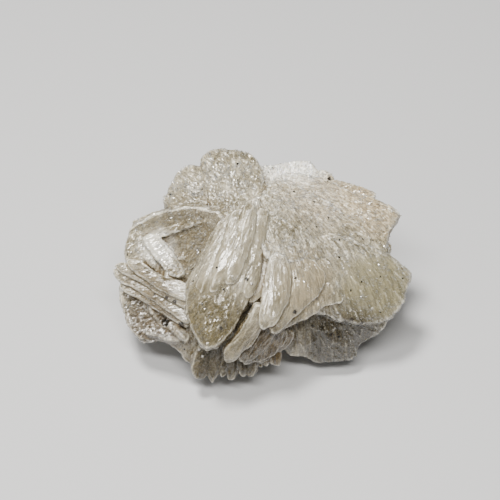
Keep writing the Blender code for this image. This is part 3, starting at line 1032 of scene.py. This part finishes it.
bm = bmesh.new()
bmesh.ops.create_icosphere(bm, subdivisions=5, radius=1.0)
bm.transform(
    Matrix.Scale(MM, 4)
    @ Matrix.Translation(HEART_CENTRE)
    @ Matrix.Diagonal((*HEART_RADII, 1.0))
)
heart = to_object(bm, "heart")
finish_skin(heart, BACK_HUB, **BACK_ROUGH)
print("heart tris", len(heart.data.polygons), clock())

# %% [markdown]
# ## Shelter
# Dirt and iron stain gather where rain and fingers don't reach. So the material has to
# know how closed in a point is. The Ambient Occlusion node would tell it, but only while
# rendering, and an exported model would lose it. Here a few rays leave every point, fanned
# over the sky above it, and the nearer they hit another crystal, the more closed in it is.

# %% How closed in each point is
SHELTER_RAYS = 7
SHELTER_REACH = 6.0
RAY_START = 0.25  # above the skin, so that a ray doesn't hit its own face
SKY_SHARE = 0.8  # leaves out the rays that would graze the skin


def sky_rays():
    """Directions spread evenly over the sky, as on a sunflower's head."""
    golden = math.pi * (3 - math.sqrt(5))
    rays = []
    for ray in range(SHELTER_RAYS):
        z = 1 - (ray + 0.5) / SHELTER_RAYS * SKY_SHARE
        r = math.sqrt(1 - z * z)
        rays.append((r * math.cos(golden * ray), r * math.sin(golden * ray), z))
    return rays


def all_in_one():
    """A tree of every skin's faces, to cast rays at."""
    bm = bmesh.new()
    for obj in groups.values():
        bm.from_mesh(obj.data)
    tree = BVHTree.FromBMesh(bm)
    bm.free()
    return tree


def mark_shelter(obj, tree):
    """Stores how much of the sky over each point is closed by other crystals."""
    co, normal = points_of(obj.data)
    rays = sky_rays()
    far = SHELTER_REACH * MM
    closed = np.zeros(len(co))
    for number in range(len(co)):
        up = Vector(normal[number])
        turn = up.to_track_quat("Z", "Y")
        start = Vector(co[number]) + up * RAY_START * MM
        for ray in rays:
            hit = tree.ray_cast(start, turn @ Vector(ray), far)[3]
            if hit is not None:
                closed[number] += 1 - hit / far
    store(obj, "shelter", closed / SHELTER_RAYS)


skins = all_in_one()
for obj in groups.values():
    mark_shelter(obj, skins)
print("shelter of", len(groups), "skins", clock())

# %% [markdown]
# ## Rims
# Barite is palest at its rims, where light comes through. To find them, a copy of each
# skin's points is smoothed many times. A point on a rim sinks a long way when it is
# smoothed, and a point on a flat face hardly moves, so the distance tells how sharp the
# skin is there. The Pointiness output of the Geometry node says much the same, but it
# is lost in an export.

# %% How far each point stands out
RIM_ROUNDS = 24
RIM_FULL = 98  # the percentile of distances that counts as a full rim


def mark_rim(obj):
    """Stores how convex the skin is at each point."""
    mesh = obj.data
    co, normal = points_of(mesh)
    ends = np.empty(len(mesh.edges) * 2, np.int32)
    mesh.edges.foreach_get("vertices", ends)
    ends = ends.reshape(-1, 2)
    here, there = np.concatenate([ends, ends[:, ::-1]]).T
    count = np.bincount(here, minlength=len(co))[:, None]
    soft = co.astype(float)
    for _ in range(RIM_ROUNDS):
        sums = [np.bincount(here, soft[there, axis], len(co)) for axis in range(3)]
        soft = 0.5 * soft + 0.5 * np.stack(sums, axis=1) / count
    out = ((co - soft) * normal).sum(axis=1)
    store(obj, "rim", out / np.percentile(out, RIM_FULL))


for obj in groups.values():
    mark_rim(obj)
print("rims of", len(groups), "skins", clock())

# %% [markdown]
# ## Druse
# The crystals that glint are a size up from the sugar: flat tablets up to about a
# millimetre long, half sunk in the face they grew on, most of them pointing the way the
# big plate grew. There are thousands, so one tablet is modelled, and Geometry Nodes
# scatters it over the skins. Particles could do that too, but nodes can read the notes
# stored on a skin. The tablet has only six sides, because it is repeated so often. It is
# one unit long and sits a little forward of its own origin, so it grows out of its root.

# %% The tablet
TABLET_TAPER = 0.8
TABLET_FORWARD = 0.2

bm = bmesh.new()
bmesh.ops.create_cone(
    bm, segments=6, radius1=1.0, radius2=TABLET_TAPER, depth=1.0, cap_ends=True
)
bm.transform(Matrix.Diagonal((0.5, 0.5, 1.0, 1.0)))
bmesh.ops.translate(bm, verts=bm.verts, vec=(TABLET_FORWARD, 0, 0))
tablet = to_object(bm, "tablet")
print("tablet faces:", len(tablet.data.polygons))

# %% [markdown]
# ## Building with nodes
# Both node trees of this lesson, the one that scatters the tablets and the material, are
# built with the same two short functions. One links two sockets. The other adds a node
# and fills its sockets in one go, so that a line of code reads like one box of the tree.

# %% Nodes


def link(start, end):
    """Joins two sockets of one node tree."""
    start.id_data.links.new(start, end)


def add(tree, kind, values=None, **settings):
    """Adds a node. A value for a socket is either a plain one or another node's output."""
    made = tree.nodes.new(kind)
    for key, setting in settings.items():
        setattr(made, key, setting)
    for key, value in (values or {}).items():
        if isinstance(value, bpy.types.NodeSocket):
            link(value, made.inputs[key])
        else:
            made.inputs[key].default_value = value
    return made


druse_tree = bpy.data.node_groups.new("druse", "GeometryNodeTree")
for name, way, kind in [
    ("Geometry", "OUTPUT", "NodeSocketGeometry"),
    ("Geometry", "INPUT", "NodeSocketGeometry"),
    ("Density", "INPUT", "NodeSocketFloat"),
    ("Length", "INPUT", "NodeSocketFloat"),
    ("Hub", "INPUT", "NodeSocketVector"),
]:
    druse_tree.interface.new_socket(name, in_out=way, socket_type=kind)
print("sockets of the druse tree:", [item.name for item in druse_tree.interface.items_tree])

# %% [markdown]
# ## Where the tablets grow
# Tablets grow in patches, and not where a face is closed in. So their density is three
# things multiplied: patchy noise, the open sky over the point, and the number asked for.
# Painting the patches as weights would give more say over each one, but it would have to
# be done again after every change to a skin.

# %% Druse density
PATCHES_PER_METRE = 260.0
BARE, COVERED = 0.4, 0.66  # the noise where no tablets grow, and where most do
CLOSED_IN, OPEN = 0.35, 0.15  # the shelter note, likewise

asked = add(druse_tree, "NodeGroupInput").outputs
grown = add(druse_tree, "NodeGroupOutput").inputs
where = add(druse_tree, "GeometryNodeInputPosition").outputs["Position"]
patches = add(
    druse_tree, "ShaderNodeTexNoise",
    {"Vector": where, "Scale": PATCHES_PER_METRE, "Detail": 2.0},
)
patchy = add(
    druse_tree, "ShaderNodeMapRange",
    {"Value": patches.outputs["Fac"], "From Min": BARE, "From Max": COVERED},
)
closed = add(
    druse_tree, "GeometryNodeInputNamedAttribute", {"Name": "shelter"}, data_type="FLOAT"
)
open_sky = add(
    druse_tree, "ShaderNodeMapRange",
    {"Value": closed.outputs["Attribute"], "From Min": CLOSED_IN, "From Max": OPEN},
)
share = add(
    druse_tree, "ShaderNodeMath",
    {0: patchy.outputs["Result"], 1: open_sky.outputs["Result"]}, operation="MULTIPLY",
)
density = add(
    druse_tree, "ShaderNodeMath",
    {0: share.outputs["Value"], 1: asked["Density"]}, operation="MULTIPLY",
)
print("nodes for the density:", len(druse_tree.nodes))

# %% [markdown]
# ## Which way the tablets point
# A tablet first stands up along the skin's normal. Then it turns about that normal until
# it points away from the hub. Then it strays by a random turn of its own, so that the
# tablets glint one after another, and not all at once as on a brushed plate.

# %% Druse direction
LEAST_TURN = (-0.5, -0.6, -0.7)  # about the tablet's own axes, in radians
MOST_TURN = (0.5, 0.2, 0.7)

points = add(
    druse_tree, "GeometryNodeDistributePointsOnFaces",
    {"Mesh": asked["Geometry"], "Density": density.outputs["Value"]},
    distribute_method="RANDOM",
)
away = add(druse_tree, "ShaderNodeVectorMath", {0: where, 1: asked["Hub"]}, operation="SUBTRACT")
upright = add(
    druse_tree, "FunctionNodeAlignRotationToVector",
    {"Vector": points.outputs["Normal"]}, axis="Z",
)
pointed = add(
    druse_tree, "FunctionNodeAlignRotationToVector",
    {"Rotation": upright.outputs["Rotation"], "Vector": away.outputs["Vector"]},
    axis="X", pivot_axis="Z",
)
stray = add(
    druse_tree, "FunctionNodeRandomValue",
    {0: LEAST_TURN, 1: MOST_TURN, "Seed": 3}, data_type="FLOAT_VECTOR",
)
turn = add(druse_tree, "FunctionNodeEulerToRotation", {"Euler": stray.outputs["Value"]})
turned = add(
    druse_tree, "FunctionNodeRotateRotation",
    {"Rotation": pointed.outputs["Rotation"], "Rotate By": turn.outputs["Rotation"]},
    rotation_space="LOCAL",
)
print("nodes with the direction:", len(druse_tree.nodes))

# %% [markdown]
# ## Sizes and copies
# Each tablet gets a random length, width and thickness, and the length asked for scales
# all three. Instances would take less memory, but the copies are made real, because a
# finished piece has to be a mesh of its own.

# %% Druse copies
SMALLEST = (0.5, 0.22, 0.1)  # length, width and thickness, in lengths asked for
LARGEST = (1.3, 0.5, 0.24)

sizes = add(
    druse_tree, "FunctionNodeRandomValue",
    {0: SMALLEST, 1: LARGEST, "Seed": 8}, data_type="FLOAT_VECTOR",
)
scale = add(
    druse_tree, "ShaderNodeVectorMath",
    {0: sizes.outputs["Value"], "Scale": asked["Length"]}, operation="SCALE",
)
one = add(druse_tree, "GeometryNodeObjectInfo", {"Object": tablet})
copies = add(
    druse_tree, "GeometryNodeInstanceOnPoints",
    {
        "Points": points.outputs["Points"],
        "Instance": one.outputs["Geometry"],
        "Rotation": turned.outputs["Rotation"],
        "Scale": scale.outputs["Vector"],
    },
)
real = add(druse_tree, "GeometryNodeRealizeInstances", {"Geometry": copies.outputs["Instances"]})
link(real.outputs["Geometry"], grown["Geometry"])
print("nodes in all:", len(druse_tree.nodes))

# %% [markdown]
# ## Growing the druse
# The broad plates on the right and the crown carry the most tablets, and the long crystal
# and the lenses the fewest. The modifier runs on a copy of each skin and leaves only the
# tablets. They get notes of their own, because a tablet is clean and shines all over, and
# because it takes part of the painted rim light, which whitens it as a painted glint.

# %% Druses
DRUSE_GLOSS = 1.0
DRUSE_RIM_GLOW = 0.55
# Tablets per square millimetre where they are thickest, and their length.
DRUSE = {
    "right_plates": (2.4, 0.65),
    "top_right_plates": (1.6, 0.65),
    "top_plates": (3.0, 0.7),
    "hollow_plates": (2.4, 0.65),
    "tongue": (0.9, 0.5),
    "petals": (1.2, 0.5),
    "lenses": (0.8, 0.5),
    "left_bundle": (1.2, 0.5),
    "lower_left": (2.4, 0.65),
    "back_rosette": (0.8, 1.0),
}


def grow_druse(name, skin, density, length):
    """A joined mesh of tablets that stand on a skin."""
    obj = bpy.data.objects.new(name, skin.data.copy())
    bpy.context.scene.collection.objects.link(obj)
    scatter = obj.modifiers.new("druse", "NODES")
    scatter.node_group = druse_tree
    values = {
        "Density": density / MM**2,
        "Length": length * MM,
        "Hub": SHOW @ Vector(hubs[skin.name]),
    }
    for item in druse_tree.interface.items_tree:
        if item.name in values:
            scatter[item.identifier] = values[item.name]
    applied(obj)
    set_points(obj, points_of(obj.data)[0])
    # Each tablet is clean, and takes part of the painted rim light, which whitens it.
    for layer, value in [("gloss", DRUSE_GLOSS), ("rim", DRUSE_RIM_GLOW)]:
        store(obj, layer, np.full(len(obj.data.vertices), value))
    return obj


druses = {}
for name, (density, length) in DRUSE.items():
    druses[name] = grow_druse(name + "_druse", groups[name], density, length)
    print(name, "druse tris", sum(len(p.vertices) - 2 for p in druses[name].data.polygons))
bpy.data.objects.remove(tablet)
print("druse", clock())

# %% [markdown]
# ## Barite as a material
# Barite is milky and a little see-through: light goes in, scatters and comes out again
# close by, so thin rims look whiter than thick faces. Subsurface scattering gives that
# with plain values, while transmission would show the hollow inside of the skins. Its
# surface is glassy and lies over the milk like a varnish, which a coat gives. Red light
# goes a little further into the stone than blue, so the shadows turn warm.

# %% Stone
REFRACTION = 1.64

stone = bpy.data.materials.new("barite")
stone.use_nodes = True
barite = stone.node_tree
surface = barite.nodes["Principled BSDF"].inputs
surface["IOR"].default_value = REFRACTION
surface["Coat IOR"].default_value = REFRACTION
surface["Coat Weight"].default_value = 0.6
surface["Coat Roughness"].default_value = 0.12
surface["Subsurface Weight"].default_value = 1.0
surface["Subsurface Radius"].default_value = (1.0, 0.92, 0.75)
surface["Subsurface Scale"].default_value = 1.8 * MM
print("barite bends light by", REFRACTION)

# %% [markdown]
# ## Helpers for the finish
# The finish is built in layers, each one over what came before, as a painter would. Four
# small functions say what happens: blend lays a colour on, ramp turns one range of values
# into another, and times and plus join two values. A colour ramp for every layer would
# work too, but it hides its numbers in its stops.

# %% Layers


def blend(amount, before, after):
    """Lays a colour over what came before it."""
    values = {"Factor": amount, "A": before, "B": (*after, 1)}
    return add(barite, "ShaderNodeMix", values, data_type="RGBA").outputs["Result"]


def times(first, second):
    """Multiplies two values."""
    values = {0: first, 1: second}
    return add(barite, "ShaderNodeMath", values, operation="MULTIPLY").outputs["Value"]


def plus(first, second):
    """Adds two values."""
    values = {0: first, 1: second}
    return add(barite, "ShaderNodeMath", values, operation="ADD").outputs["Value"]


def ramp(value, low, high, bottom=0.0, top=1.0):
    """Turns the range from low to high into the range from bottom to top."""
    values = {"Value": value, "From Min": low, "From Max": high, "To Min": bottom, "To Max": top}
    return add(barite, "ShaderNodeMapRange", values).outputs["Result"]


print("layers are mixed by blend, times, plus and ramp")

# %% [markdown]
# ## Places and notes
# Every pattern reads Object coordinates, scaled to millimetres, so that the scale of a
# noise is a number of waves in a millimetre. Generated coordinates would stretch with each
# piece's box, and the cloudiness would jump from one crystal to the next. The notes that
# were stored on the skins come in through Attribute nodes.

# %% Places, notes and noise
place = add(barite, "ShaderNodeTexCoord").outputs["Object"]
scale_up = add(barite, "ShaderNodeMapping", {"Vector": place, "Scale": (1 / MM, 1 / MM, 1 / MM)})
mm = scale_up.outputs["Vector"]


def note(name, output="Fac"):
    """A note that was stored on the skin."""
    return add(barite, "ShaderNodeAttribute", attribute_name=name).outputs[output]


def cloudy(waves, detail, roughness):
    """Cloudy noise over the surface, with so many waves in a millimetre."""
    values = {"Vector": mm, "Scale": waves, "Detail": detail, "Roughness": roughness}
    return add(barite, "ShaderNodeTexNoise", values).outputs["Fac"]


shelter = note("shelter")
rim = note("rim")
gloss = note("gloss")
growth = note("growth", "Vector")
grit = cloudy(waves=2.2, detail=5.0, roughness=0.7)
print("notes read: shelter, rim, gloss and growth")

# %% [markdown]
# ## Grey and cream
# Clean barite is colourless. What clouds it is tiny bubbles and clay, in soft wisps a few
# millimetres across. A colour ramp over a slow noise runs from a greyish olive, where the
# stone is clear and one looks into its depth, to a cream, where it is milky.

# %% Base colour
CLEAR = (0.3, (0.18, 0.155, 0.095, 1))  # a place on the noise, and the colour there
CREAM = (0.7, (0.48, 0.44, 0.35, 1))

clouds = cloudy(waves=0.2, detail=5.0, roughness=0.65)
wisps = add(barite, "ShaderNodeValToRGB", {"Fac": clouds})
for stop, (position, shade) in zip(wisps.color_ramp.elements, (CLEAR, CREAM)):
    stop.position = position
    stop.color = shade
colour = wisps.outputs["Color"]
print("base colour from", CLEAR[1][:3], "to", CREAM[1][:3])

# %% [markdown]
# ## Tints, painted shade and a painted highlight
# Iron and clay coloured some plates more than others: the lenses are brown, and the plates
# over the upper edge are nearly white. Some tints are painted light as well. The plates low
# on the show face are olive and brown and darkened further as painted shade, most of all
# the lower right, which faces down, and the blade in the hollow is whitened as a painted
# highlight. A material for each group would leave a hard line where two groups meet. Soft
# balls of colour, placed in the show frame, run over all the skins alike and fade out
# between them.

# %% Tints
TINT_CORE = 0.5  # the share of a tint's reach inside which it is at full strength
# Middle of each tint in the show frame, its reach, its colour and its strength.
TINTS_AND_PAINTED_LIGHT = [
    ((13, 17, 0), 14, (0.48, 0.42, 0.32), 0.8),
    ((8, 25, -5), 10, (0.88, 0.86, 0.80), 0.95),
    ((27, 14, -4), 13, (0.52, 0.42, 0.27), 0.7),
    ((10, -4, 12), 10, (0.33, 0.28, 0.19), 0.8),
    ((28, -5, 4), 13, (0.27, 0.245, 0.15), 0.85),
    # Painted shade: the lower right faces down, and its olive is darkened nearly to black.
    ((20, -19, 0), 15, (0.03, 0.021, 0.006), 0.97),
    # Olive and brown, darkened further as painted shade low on the show face: the lenses, the
    # fringe, the lower half of the long crystal, the lower left and the bundle.
    ((1, -19, 8), 11, (0.075, 0.048, 0.012), 0.92),
    ((-10, -26, 5), 13, (0.05, 0.037, 0.013), 0.92),
    ((-13, -13, 14), 11, (0.11, 0.088, 0.036), 0.9),
    ((-27, -15, 2), 12, (0.075, 0.053, 0.03), 0.9),
    ((-28, -5, 6), 10, (0.13, 0.10, 0.052), 0.85),
    # A darker olive in the hollow: partly its colour, and partly painted shade where the hollow is
    # closed in.
    ((-17, 8, 3), 13, (0.15, 0.12, 0.065), 0.85),
    # Painted highlight: the bright blade in the hollow is whitened.
    ((-26.5, 4.5, 6), 6, (0.70, 0.68, 0.62), 0.85),
]


def far_from(spot):
    """Distance from a spot in the show frame, in millimetres."""
    values = {0: mm, 1: (SHOW @ Vector(spot)) / MM}
    return add(barite, "ShaderNodeVectorMath", values, operation="DISTANCE").outputs["Value"]


for spot, reach, tint, strength in TINTS_AND_PAINTED_LIGHT:
    colour = blend(ramp(far_from(spot), reach, TINT_CORE * reach, 0.0, strength), colour, tint)
print("tints:", len(TINTS_AND_PAINTED_LIGHT))

# %% [markdown]
# ## Painted rim light
# Rims are whiter than faces, because more light leaves the stone there. Scattering shows
# some of that, and a pale colour where the rim note is high is painted light that adds the
# rest. The light comes from above, so low on the show face this painted rim light fades out
# on the way down, as painted shade right up to the rims.

# %% Rims
RIM_GLOW_WHITE = (0.84, 0.81, 0.72)
RIM_STRENGTH = 0.7
RIM_FROM, RIM_TO = 0.25, 1.0  # the rim note where the white starts, and where it is full
SHADED_V, LIT_V = -24, -6  # heights on the show face, in v
SHADED_SHARE = 0.4  # how much of the white is left below
UP = SHOW.to_3x3() @ Vector((0, 1, 0)) / MM


def height_of(v):
    """How high a height on the show face lies along the face's own up direction."""
    return (SHOW @ Vector((0, v, 0))).dot(UP) / MM


lift = add(barite, "ShaderNodeVectorMath", {0: mm, 1: UP}, operation="DOT_PRODUCT")
below, above = height_of(SHADED_V), height_of(LIT_V)
higher = ramp(lift.outputs["Value"], below, above, SHADED_SHARE, 1.0)
sharp = ramp(rim, RIM_FROM, RIM_TO, 0.0, RIM_STRENGTH)
# Painted light on the rims, fading into painted shade low on the show face.
colour = blend(times(sharp, higher), colour, RIM_GLOW_WHITE)
print("rims are palest above v =", LIT_V)

# %% [markdown]
# ## Brown stain
# Iron left a brown stain in the crevices. The shelter note says where those are. Alone it
# would give an even shadow, so it is multiplied by noise, and the stain gets the ragged
# edge of something that dried there.

# %% Stain
RUST = (0.15, 0.105, 0.05)
STAIN_FROM, STAIN_TO = 0.10, 0.34
STAIN_STRENGTH = 0.9

stained = times(shelter, cloudy(waves=0.45, detail=6.0, roughness=0.65))
colour = blend(ramp(stained, STAIN_FROM, STAIN_TO, 0.0, STAIN_STRENGTH), colour, RUST)
print("shelter times noise: stained from", STAIN_FROM, "and brownest from", STAIN_TO)

# %% [markdown]
# ## Specks
# Black specks of ore are strewn over the whole specimen, a few to each plate. A Voronoi
# pattern puts one point in each of its cells, and its distance from that point makes a
# dot. Half of the cells are left out by their random colour, and noise on the distance
# makes the dots ragged. Modelled, a speck would be hardly wider than the grid of its skin,
# and would come out blocky.

# %% Specks
SPECK_BLACK = (0.008, 0.007, 0.006)
SPECK_CELLS = 0.36  # cells in a millimetre
SPECK_CORE, SPECK_EDGE = 0.24, 0.27  # distance plus noise, in cells: black, and clear again
SPECK_RAGGEDNESS = 0.3
LEFT_OUT, KEPT = 0.5, 0.55  # the random red of a cell

speck = add(barite, "ShaderNodeTexVoronoi", {"Vector": mm, "Scale": SPECK_CELLS}).outputs
pick = add(barite, "ShaderNodeSeparateColor", {"Color": speck["Color"]}).outputs["Red"]
ragged = plus(speck["Distance"], times(grit, SPECK_RAGGEDNESS))
dot = times(ramp(ragged, SPECK_EDGE, SPECK_CORE), ramp(pick, LEFT_OUT, KEPT))
colour = blend(dot, colour, SPECK_BLACK)
print("millimetres from speck to speck, before half are left out:", round(1 / SPECK_CELLS, 1))

# %% [markdown]
# ## Grains of ore, and holes in painted shade
# Some grains are larger, and one knows the specimen by them. Two holes among the lower left
# plates aren't modelled, so their shade is painted on as two dark spots in the same way.
# Each of these has its place and its radius in a list. The same distance that places the
# tints draws them, with noise on it for a broken edge.

# %% Ore
ORE_BROWN_AND_HOLE_SHADE = (0.02, 0.014, 0.008)
GRIT_MIDDLE = 0.55  # about what the noise adds, which the edge allows for
ORE_EDGE = 0.1
# Middle of each grain or hole in the show frame, and its radius. The first two are the holes, dark
# as painted shade.
ORE_AND_HOLES = [
    ((-24.6, -14.3, 3.8), 1.0), ((-20.4, -14.7, 7.7), 0.9), ((-24, -7.8, 8), 0.5),
    ((-22, -8.8, 8.6), 0.55), ((-27, -7, 6.6), 0.35), ((22, -13.2, 6.6), 0.5),
    ((24.6, -14.2, 5.5), 0.45), ((17.2, -17.2, 3.3), 0.4), ((16.9, -18.4, 3), 0.35),
    ((7.6, -11.1, 14.1), 0.5), ((-10.4, -14.9, 17.4), 0.4), ((-4, -3, 16.6), 0.4),
    ((-2.8, -4.2, 16.3), 0.3), ((17, 22.3, -3.7), 0.5), ((12.4, -15, 4.2), 0.35),
]

for spot, radius in ORE_AND_HOLES:
    edge = radius + GRIT_MIDDLE
    inside = ramp(plus(far_from(spot), grit), edge + ORE_EDGE, edge - ORE_EDGE)
    # Dark ore, and painted shade in the two holes.
    colour = blend(inside, colour, ORE_BROWN_AND_HOLE_SHADE)
print("grains of ore and dark holes:", len(ORE_AND_HOLES))

# %% [markdown]
# ## Facets of sugar
# The finest sugar is too small to model, so a bump stands for it. Each cell of a Voronoi
# pattern is one crystal, and its height is a plane tilted its own way, which gives a flat
# facet. Noise would give rounded dimples, like hammered metal. The coat is bumped more
# than the milk under it, so the glints are sharp and the shading stays soft. Where a face
# is clean, both fade.

# %% Facets
CLEAN_FROM, CLEAN_TO = 0.1, 0.6  # the gloss note, from sugared to clean

cell = add(barite, "ShaderNodeTexVoronoi", {"Vector": growth, "Scale": 1.0}).outputs
off = add(barite, "ShaderNodeVectorMath", {0: growth, 1: cell["Position"]}, operation="SUBTRACT")
tilt = add(
    barite, "ShaderNodeVectorMath", {0: cell["Color"], 1: (0.5, 0.5, 0.5)}, operation="SUBTRACT"
)
facet = add(
    barite, "ShaderNodeVectorMath",
    {0: off.outputs["Vector"], 1: tilt.outputs["Vector"]}, operation="DOT_PRODUCT",
).outputs["Value"]

for socket, depth, sugared, clean in [
    ("Normal", 0.4, 0.45, 0.03),
    ("Coat Normal", 0.6, 1.0, 0.05),
]:
    strength = ramp(gloss, CLEAN_FROM, CLEAN_TO, sugared, clean)
    values = {"Height": facet, "Distance": depth * MM, "Strength": strength}
    link(add(barite, "ShaderNodeBump", values).outputs["Normal"], surface[socket])
    print(socket, "bump:", depth, "mm")

# %% [markdown]
# ## Clear and milky grains
# Some sugar crystals are clear and look dark, and some are milky and look pale. The cell's
# own random colour decides which, and it darkens or lightens the colour below it. It
# multiplies and doesn't replace, so tints and stain stay visible through the grain.

# %% Grain
DARK_GRAIN, PALE_GRAIN = 0.62, 1.3
DARK_GRIT, PALE_GRIT = 0.8, 1.2
GRIT_SPAN = (0.35, 0.65)  # the range that the noise mostly stays in
CLEAN_GRAIN = 0.3  # how strong the grain stays on a clean face

milk = add(barite, "ShaderNodeSeparateColor", {"Color": cell["Color"]}).outputs["Green"]
gritty = ramp(grit, *GRIT_SPAN, DARK_GRIT, PALE_GRIT)
milky = times(ramp(milk, 0.0, 1.0, DARK_GRAIN, PALE_GRAIN), gritty)
strength = ramp(gloss, 0.0, CLEAN_TO, 1.0, CLEAN_GRAIN)
values = {"Factor": strength, "A": colour, "B": milky}
grain = add(barite, "ShaderNodeMix", values, data_type="RGBA", blend_type="MULTIPLY")
link(grain.outputs["Result"], surface["Base Color"])
print("grains run from", DARK_GRAIN, "to", PALE_GRAIN, "times the colour")

# %% [markdown]
# ## Polish
# Sugared faces glitter softly, and clean faces reflect like glass. One roughness for both
# would make either the sugar wet or the clean faces dull. Noise makes the sugared ones
# uneven, and the gloss note brings the clean ones down to one low roughness.

# %% Polish
POLISHED = 0.12
GLITTERING, DULL = 0.14, 0.36

dull = ramp(grit, *GRIT_SPAN, GLITTERING, DULL)
values = {"Factor": gloss, "A": dull, "B": POLISHED}
polish = add(barite, "ShaderNodeMix", values, data_type="FLOAT")
link(polish.outputs["Result"], surface["Roughness"])
print("nodes in the barite:", len(barite.nodes))

# %% [markdown]
# ## Dressing the pieces
# Every skin and every druse is barite, and all of them sit on the one body of the
# cluster. The skins are shaded smooth, because their grid is finer than any facet on
# them. The tablets are shaded flat, so that each of their faces glints by itself. The
# heart is the piece that takes the place of the plain solid.

# %% Dress
for obj in [*groups.values(), *druses.values()]:
    obj.data.materials.clear()
    obj.data.materials.append(stone)
    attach(obj, "root")
for obj in groups.values():
    obj.data.shade_smooth()
for obj in druses.values():
    obj.data.shade_flat()
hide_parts("barite_cluster")
print("pieces:", len(groups) + len(druses))

# %% [markdown]
# ## Floor
# The specimen stands on a plain pale board, so that its shadow shows where it rests.

# %% Floor
FLOOR_REACH = 3.0  # metres from the middle, so that no edge shows
BOARD_GREY = (0.56, 0.57, 0.6, 1)
BOARD_ROUGHNESS = 0.8

bm = bmesh.new()
bmesh.ops.create_grid(bm, x_segments=1, y_segments=1, size=FLOOR_REACH)
floor = to_object(bm, "floor")
board = bpy.data.materials.new("pale_floor")
board.use_nodes = True
board_surface = board.node_tree.nodes["Principled BSDF"].inputs
board_surface["Base Color"].default_value = BOARD_GREY
board_surface["Roughness"].default_value = BOARD_ROUGHNESS
floor.data.materials.append(board)
print("floor:", 2 * FLOOR_REACH, "m across")

# %% [markdown]
# ## Camera
# The camera looks straight at the show face from 40 centimetres away. From nearer, the
# front crystals would look too large beside the others. The lens isn't guessed: it is
# worked out from the distance and from how many pixels a millimetre takes up.

# %% Camera
PX_PER_MM = 3.947
IMAGE = 500
DISTANCE = 400.0
SENSOR = 36.0
AIM = Vector((-3.3, 4.05, 0))  # in the show frame

camera_data = bpy.data.cameras.new("camera")
camera = bpy.data.objects.new("camera", camera_data)
bpy.context.scene.collection.objects.link(camera)
bpy.context.scene.camera = camera
camera_data.sensor_width = SENSOR
camera_data.lens = SENSOR * DISTANCE / (IMAGE / PX_PER_MM)
camera_data.clip_start = 10 * MM
camera.location = SHOW @ AIM + OUT * DISTANCE * MM
camera.rotation_mode = "QUATERNION"
camera.rotation_quaternion = (-OUT).to_track_quat("-Z", "Y")
print("lens:", round(camera_data.lens, 1), "mm")

# %% [markdown]
# ## Light
# Barite shows its facets only when something bright is mirrored in them. The key is a
# small softbox nearly overhead, which models the plates. A broad, weak fill opens the
# shadows. A long strip near the camera draws a bright line along each ridge of the
# middle crystal. A bigger key would be gentler, but its glints would be dull.

# %% Softboxes
WARM_WHITE = (1.0, 0.97, 0.90)
LIGHT_AIM = Vector((0, 0, 20))
ROOM_LIGHT = (0.84, 0.82, 0.77, 1)
ROOM_STRENGTH = 0.15


def softbox(name, place, power, width, height):
    """A rectangular light that faces the specimen; lengths in millimetres, power in watts."""
    light = bpy.data.lights.new(name, "AREA")
    light.energy = power
    light.color = WARM_WHITE
    light.shape = "RECTANGLE"
    light.size = width * MM
    light.size_y = height * MM
    obj = bpy.data.objects.new(name, light)
    bpy.context.scene.collection.objects.link(obj)
    obj.location = Vector(place) * MM
    obj.rotation_mode = "QUATERNION"
    obj.rotation_quaternion = (LIGHT_AIM - Vector(place)).to_track_quat("-Z", "Y")


softbox("key", (-120, 20, 570), power=4.6, width=110, height=110)
softbox("fill", (-350, -300, 300), power=0.5, width=400, height=400)
softbox("strip", (-40, -200, 480), power=2.9, width=340, height=60)

world = bpy.data.worlds.new("studio")
world.use_nodes = True
background = world.node_tree.nodes["Background"].inputs
background["Color"].default_value = ROOM_LIGHT
background["Strength"].default_value = ROOM_STRENGTH
bpy.context.scene.world = world
print("lights:", len(bpy.data.lights))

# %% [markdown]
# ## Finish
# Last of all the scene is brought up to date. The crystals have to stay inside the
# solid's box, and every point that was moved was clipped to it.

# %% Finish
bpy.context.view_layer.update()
print("done", clock())
